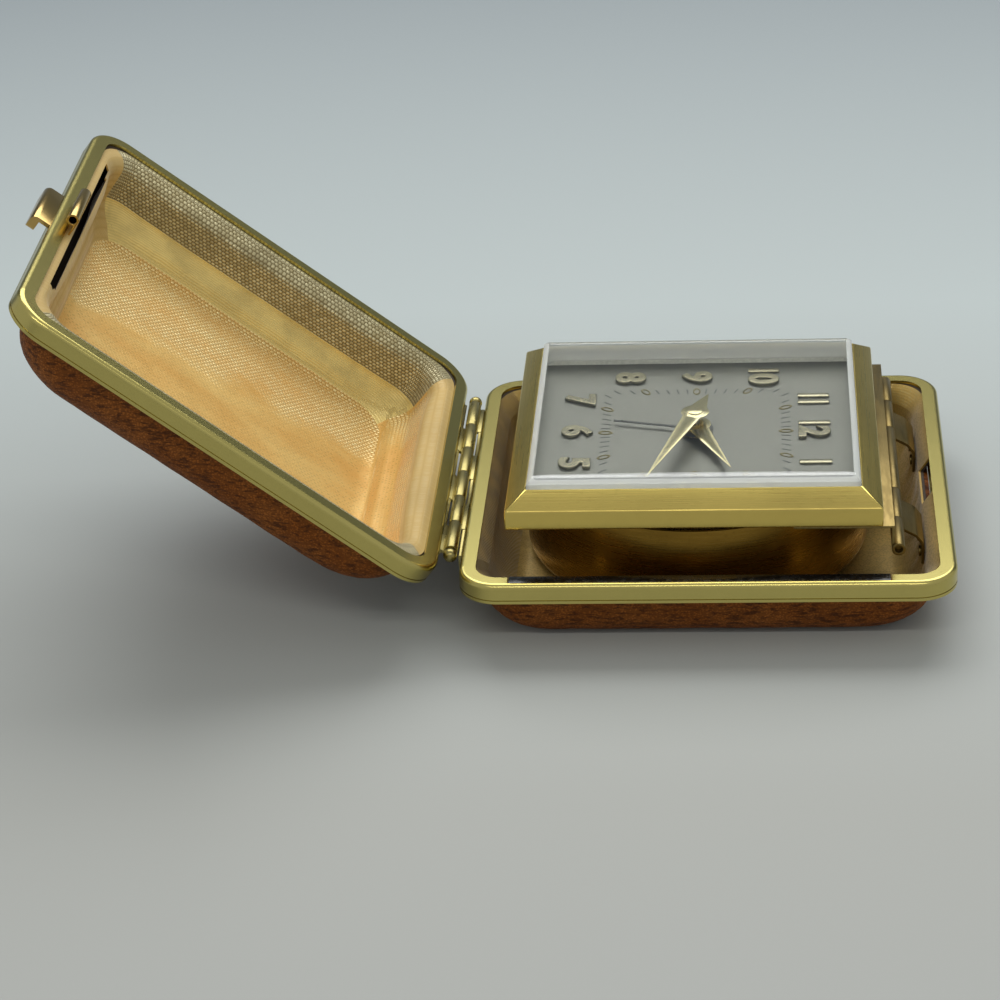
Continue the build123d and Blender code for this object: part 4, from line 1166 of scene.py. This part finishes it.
class CLOCK_OT_crystal(bpy.types.Operator):
    """Model the clear box crystal with its bevel and low dome."""

    bl_idname = "travel_clock.crystal"
    bl_label = "Crystal"

    def execute(self, context):
        clear = self.glass("clear_crystal", (0.985, 0.99, 0.985, 1), 0.02, 1.0)
        # Painted reflection: the bevel and sides get a whitish, half clear glass that paints the bright glare
        # of the crystal's edges.
        edge = self.glass("crystal_edge_glare", (0.92, 0.93, 0.89, 1), 0.1, 0.55)
        crystal = self.add_crystal()
        paint(crystal, clear, edge)
        for face in crystal.data.polygons:
            face.material_index = 1 if abs(face.normal.z) < 0.9 else 0
        put(crystal, "head", "crystal", "crystal")
        return {"FINISHED"}

    def glass(self, name, colour, rough, passing):
        """A glass that lets lamp light through to the dial."""
        material, tree, shader = new_material(
            name, Base_Color=colour, Roughness=rough, IOR=1.49, Transmission_Weight=passing
        )
        clear = node(tree, "BsdfTransparent", Color=(0.97, 0.98, 0.97, 1))
        mix = node(tree, "MixShader", (node(tree, "LightPath"), "Is Shadow Ray"), (shader, 0), (clear, 0))
        wire(tree, tree.nodes["Material Output"], Surface=(mix, 0))
        return material

    def add_crystal(self):
        """Models a domed top, a bevel, upright sides and a flange, as one sheet that is then made thick."""
        heights = [vertex.co.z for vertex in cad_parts["crystal"].data.vertices]
        foot, top = min(heights), max(heights)
        clearance = 0.1 * MM
        half_x, half_y = window_length / 2 - clearance, window_width / 2 - clearance
        bevel_run, bevel_rise, dome_rise = 0.85 * MM, 0.75 * MM, 0.28 * MM
        thickness, flange_width = 0.6 * MM, 0.95 * MM
        edge = top - dome_rise
        steps = [
            (half_x, half_y, edge - bevel_rise),
            (half_x, half_y, foot + thickness),
            (half_x + flange_width, half_y + flange_width, foot + thickness),
        ]
        rest()
        bpy.ops.mesh.primitive_grid_add(
            x_subdivisions=30, y_subdivisions=30, size=2, location=(head_middle.x, head_middle.y, edge)
        )
        crystal = bpy.context.object
        crystal.name = "dressed_crystal"
        size_x, size_y = half_x - bevel_run, half_y - bevel_run
        crystal.scale = (size_x, size_y, 1)
        settle(crystal)
        for vertex in crystal.data.vertices:
            share_x = (vertex.co.x - head_middle.x) / size_x
            share_y = (vertex.co.y - head_middle.y) / size_y
            vertex.co.z += dome_rise * (1 - share_x * share_x) * (1 - share_y * share_y)
        enter(crystal, "EDGE")
        bpy.ops.mesh.region_to_loop()
        height = edge
        for next_x, next_y, next_height in steps:
            extrude((0, 0, next_height - height))
            middle = (head_middle.x, head_middle.y, next_height)
            bpy.ops.transform.resize(value=(next_x / size_x, next_y / size_y, 1), center_override=middle)
            size_x, size_y, height = next_x, next_y, next_height
        leave()
        face_like(crystal, 0, (0, 0, 1))
        thicken(crystal, thickness)
        round_edges(crystal, 0.09 * MM, 2, 20)
        return smooth(crystal, 20)


class CLOCK_OT_dial(bpy.types.Operator):
    """Finish the dial and set its numerals and minute marks."""

    bl_idname = "travel_clock.dial"
    bl_label = "Dial"

    def execute(self, context):
        settings = context.scene.travel_clock.dial
        fine = (1400, 1400, 1400)
        plate = metal_material("silvered_dial", settings.plate_colour, 0.5, fine, 0.05, 0.001 * MM, 0.02)
        finish_nodes(["dial"], plate)
        # Painted reflection: the spacer's pale colour stands in for the bright reflection seen along the
        # dial's far edge.
        finish_nodes(["dial_spacer"], plain_material("pale_spacer_glare", settings.spacer_colour, 0.45))
        self.add_numerals(settings)
        self.add_marks(settings)
        return {"FINISHED"}

    def on_square(self, hour, row):
        """The place of an hour on a square round the dial's middle, and its heading."""
        turn = math.radians(30 * hour)
        reach = row / max(abs(math.cos(turn)), abs(math.sin(turn)))
        return head_middle + Vector((reach * math.cos(turn), -reach * math.sin(turn), dial_top)), turn

    def add_digit(self, digit, height):
        """One raised digit that stands on the origin, with its top towards +X."""
        rest()
        if digit == "1":
            half_bar, bar_thickness = 0.62 * MM, 0.42 * MM
            low, high = (-height / 2, -half_bar, 0), (height / 2, half_bar, bar_thickness)
            return rounded_box("bar", low, high, 0.2 * MM, 2)
        bpy.ops.object.text_add(location=(0, 0, 0))
        text = bpy.context.object.data
        text.body = digit
        text.size = 7.4 * MM
        text.offset = 0.2 * MM
        text.extrude = 0.17 * MM
        text.bevel_depth = 0.16 * MM
        text.bevel_resolution = 2
        text.resolution_u = 5
        bpy.ops.object.convert(target="MESH")
        obj = bpy.context.object
        low, high = (Vector(list(map(end, *obj.bound_box))) for end in (min, max))
        wide, tall, widest = high.x - low.x, high.y - low.y, 4.1 * MM
        centre = (low + high) / 2
        centre.z = low.z
        fit = Matrix.Diagonal((min(widest, wide) / wide, height / tall, 1, 1))
        obj.matrix_world = Matrix.Rotation(-math.pi / 2, 4, "Z") @ fit @ Matrix.Translation(-centre)
        return smooth(settle(obj), 50)

    def width(self, obj):
        """How wide a digit is."""
        sides = [vertex.co.y for vertex in obj.data.vertices]
        return max(sides) - min(sides)

    def add_numerals(self, settings):
        """The twelve raised numerals."""
        gilt = metal_material("gilt_numeral", settings.numeral_colour, 0.24, (600, 600, 600), 0.04, 0.0, 0.04)
        for hour in range(1, 13):
            place, _ = self.on_square(hour, settings.numeral_row)
            digits = [self.add_digit(digit, settings.numeral_height) for digit in str(hour)]
            if len(digits) == 2:
                widths = [self.width(obj) for obj in digits]
                total = sum(widths) + settings.digit_gap
                digits[0].location.y = total / 2 - widths[0] / 2
                digits[1].location.y = -total / 2 + widths[1] / 2
            numeral = join("numeral_" + str(hour), digits)
            settle(numeral)
            numeral.location = place
            settle(numeral)
            put(paint(numeral, gilt), "head", "dial_silver")

    def add_marks(self, settings):
        """The printed minute marks and the oval five minute marks."""
        ink = plain_material("minute_print", settings.print_colour, 0.5)
        gilt = metal_material("oval_gilt", settings.oval_colour, 0.35)
        half_length, half_width, thickness = settings.mark_length / 2, 0.13 * MM, 0.03 * MM
        low, high = (-half_length, -half_width, 0), (half_length, half_width, thickness)
        mark = rounded_box("minute_marks", low, high, 0.01 * MM, 1)
        rest()
        sides = {"major_segments": settings.corner_steps, "minor_segments": 6}
        bpy.ops.mesh.primitive_torus_add(major_radius=0.72 * MM, minor_radius=0.16 * MM, **sides)
        oval = bpy.context.object
        oval.scale = (1.45, 0.75, 0.5)
        settle(oval)
        marks, ovals = [], []
        for minute in range(60):
            place, turn = self.on_square(minute / 5, settings.track_row)
            source, row, lift = (oval, ovals, thickness) if minute % 5 == 0 else (mark, marks, 0)
            made = copy_of(source, "mark")
            turned = Matrix.Rotation(-turn, 4, "Z")
            made.matrix_world = Matrix.Translation(place + Vector((0, 0, lift))) @ turned
            row.append(made)
        for source in (mark, oval):
            bpy.data.objects.remove(source)
        for name, row, material in (("minute_marks", marks, ink), ("five_minute_marks", ovals, gilt)):
            joined = smooth(settle(join(name, row)), 50)
            put(paint(joined, material), "head", "dial_silver")


class CLOCK_OT_hands(bpy.types.Operator):
    """Finish the three hands."""

    bl_idname = "travel_clock.hands"
    bl_label = "Hands"

    def execute(self, context):
        settings = context.scene.travel_clock.dial
        gilt = metal_material("gilt_hand", settings.hand_colour, 0.22, (700, 700, 700), 0.04, 0.0, 0.02)
        black = plain_material("black_hand", tone(34, 34, 32), 0.32)
        bevelled_nodes(["minute_hand"], "minute", "hand_gilt", gilt, 0.03 * MM)
        bevelled_nodes(["hour_hand"], "hour", "hand_gilt", gilt, 0.03 * MM)
        bevelled_nodes(["alarm_hand"], "alarm", "black", black, 0.03 * MM)
        return {"FINISHED"}


class CLOCK_OT_movement(bpy.types.Operator):
    """Finish the drum cover, the dial's frame and the pieces of the movement."""

    bl_idname = "travel_clock.movement"
    bl_label = "Movement"

    def execute(self, context):
        settings = context.scene.travel_clock.brass
        round_lines = (150, 150, 3000)
        drum = metal_material("drum_brass", settings.drum_colour, 0.24, round_lines, 0.3, 0.003 * MM, 0.3)
        brass = metal_material("movement_brass", settings.movement_colour, 0.28, (2500, 200, 2500), 0.35)
        steel = metal_material("movement_steel", settings.steel_colour, 0.26, (1800, 1800, 200), 0.3)
        bevelled_nodes(["drum_cover"], "head", "bezel_brass", drum, 0.12 * MM)
        plates = ["dial_frame", "front_plate", "back_plate", "time_barrel", "alarm_barrel"]
        finish_nodes(plates + ["minute_wheel", "hour_wheel", "alarm_wheel"], brass)
        arbors = ["centre_arbor", "alarm_set_arbor", "time_winding_arbor", "alarm_winding_arbor"]
        finish_nodes(arbors + ["pillar_" + str(index) for index in range(1, 5)], steel)
        return {"FINISHED"}


class CLOCK_OT_back_controls(bpy.types.Operator):
    """Round the edges of the keys, knobs, stop button and regulator on the back."""

    bl_idname = "travel_clock.back_controls"
    bl_label = "Keys and knobs"

    def execute(self, context):
        settings = context.scene.travel_clock.brass
        brass = metal_material("key_brass", settings.movement_colour, 0.22, lines=0.15, height=0.002 * MM)
        steel = bpy.data.materials["movement_steel"]
        bevelled_nodes(["time_key"], "time_winding", "hinge_brass", brass, 0.15 * MM, 3)
        bevelled_nodes(["alarm_key"], "alarm_winding", "hinge_brass", brass, 0.15 * MM, 3)
        bevelled_nodes(["time_set_knob"], "minute", "hinge_brass", brass, 0.12 * MM)
        bevelled_nodes(["alarm_set_knob"], "alarm_setting", "hinge_brass", brass, 0.12 * MM)
        bevelled_nodes(["alarm_stop_button"], "alarm_stop", "hinge_brass", brass, 0.08 * MM)
        bevelled_nodes(["regulator_lever"], "regulator", "steel", steel, 0.08 * MM)
        return {"FINISHED"}


class CLOCK_PT_panel(bpy.types.Panel):
    """Lists the pieces of the clock."""

    bl_idname = "CLOCK_PT_panel"
    bl_label = "Travel Clock"
    bl_space_type = "VIEW_3D"
    bl_region_type = "UI"
    bl_category = "Travel Clock"

    def draw(self, context):
        column = self.layout.column()
        for operator in steps:
            column.operator(operator.bl_idname)
        settings = context.scene.travel_clock
        for part in (settings.stage, settings.leather, settings.lining, settings.brass, settings.dial):
            box = self.layout.box()
            for name in part.__annotations__:
                box.prop(part, name)


steps = (
    CLOCK_OT_stage,
    CLOCK_OT_leather,
    CLOCK_OT_lining,
    CLOCK_OT_rims,
    CLOCK_OT_main_hinge,
    CLOCK_OT_clasp,
    CLOCK_OT_head_hinge,
    CLOCK_OT_bezel,
    CLOCK_OT_crystal,
    CLOCK_OT_dial,
    CLOCK_OT_hands,
    CLOCK_OT_movement,
    CLOCK_OT_back_controls,
)
groups = (StageSettings, LeatherSettings, LiningSettings, BrassSettings, DialSettings, ClockSettings)


def register():
    for made in groups + steps + (CLOCK_PT_panel,):
        bpy.utils.register_class(made)
    bpy.types.Scene.travel_clock = PointerProperty(type=ClockSettings)


def unregister():
    del bpy.types.Scene.travel_clock
    for made in reversed(groups + steps + (CLOCK_PT_panel,)):
        bpy.utils.unregister_class(made)


def main():
    """Makes the whole clock."""
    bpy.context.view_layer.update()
    register()
    make_groups()
    for step in steps:
        getattr(bpy.ops.travel_clock, step.bl_idname.split(".")[1])()
    rest()


if __name__ == "__main__":
    main()
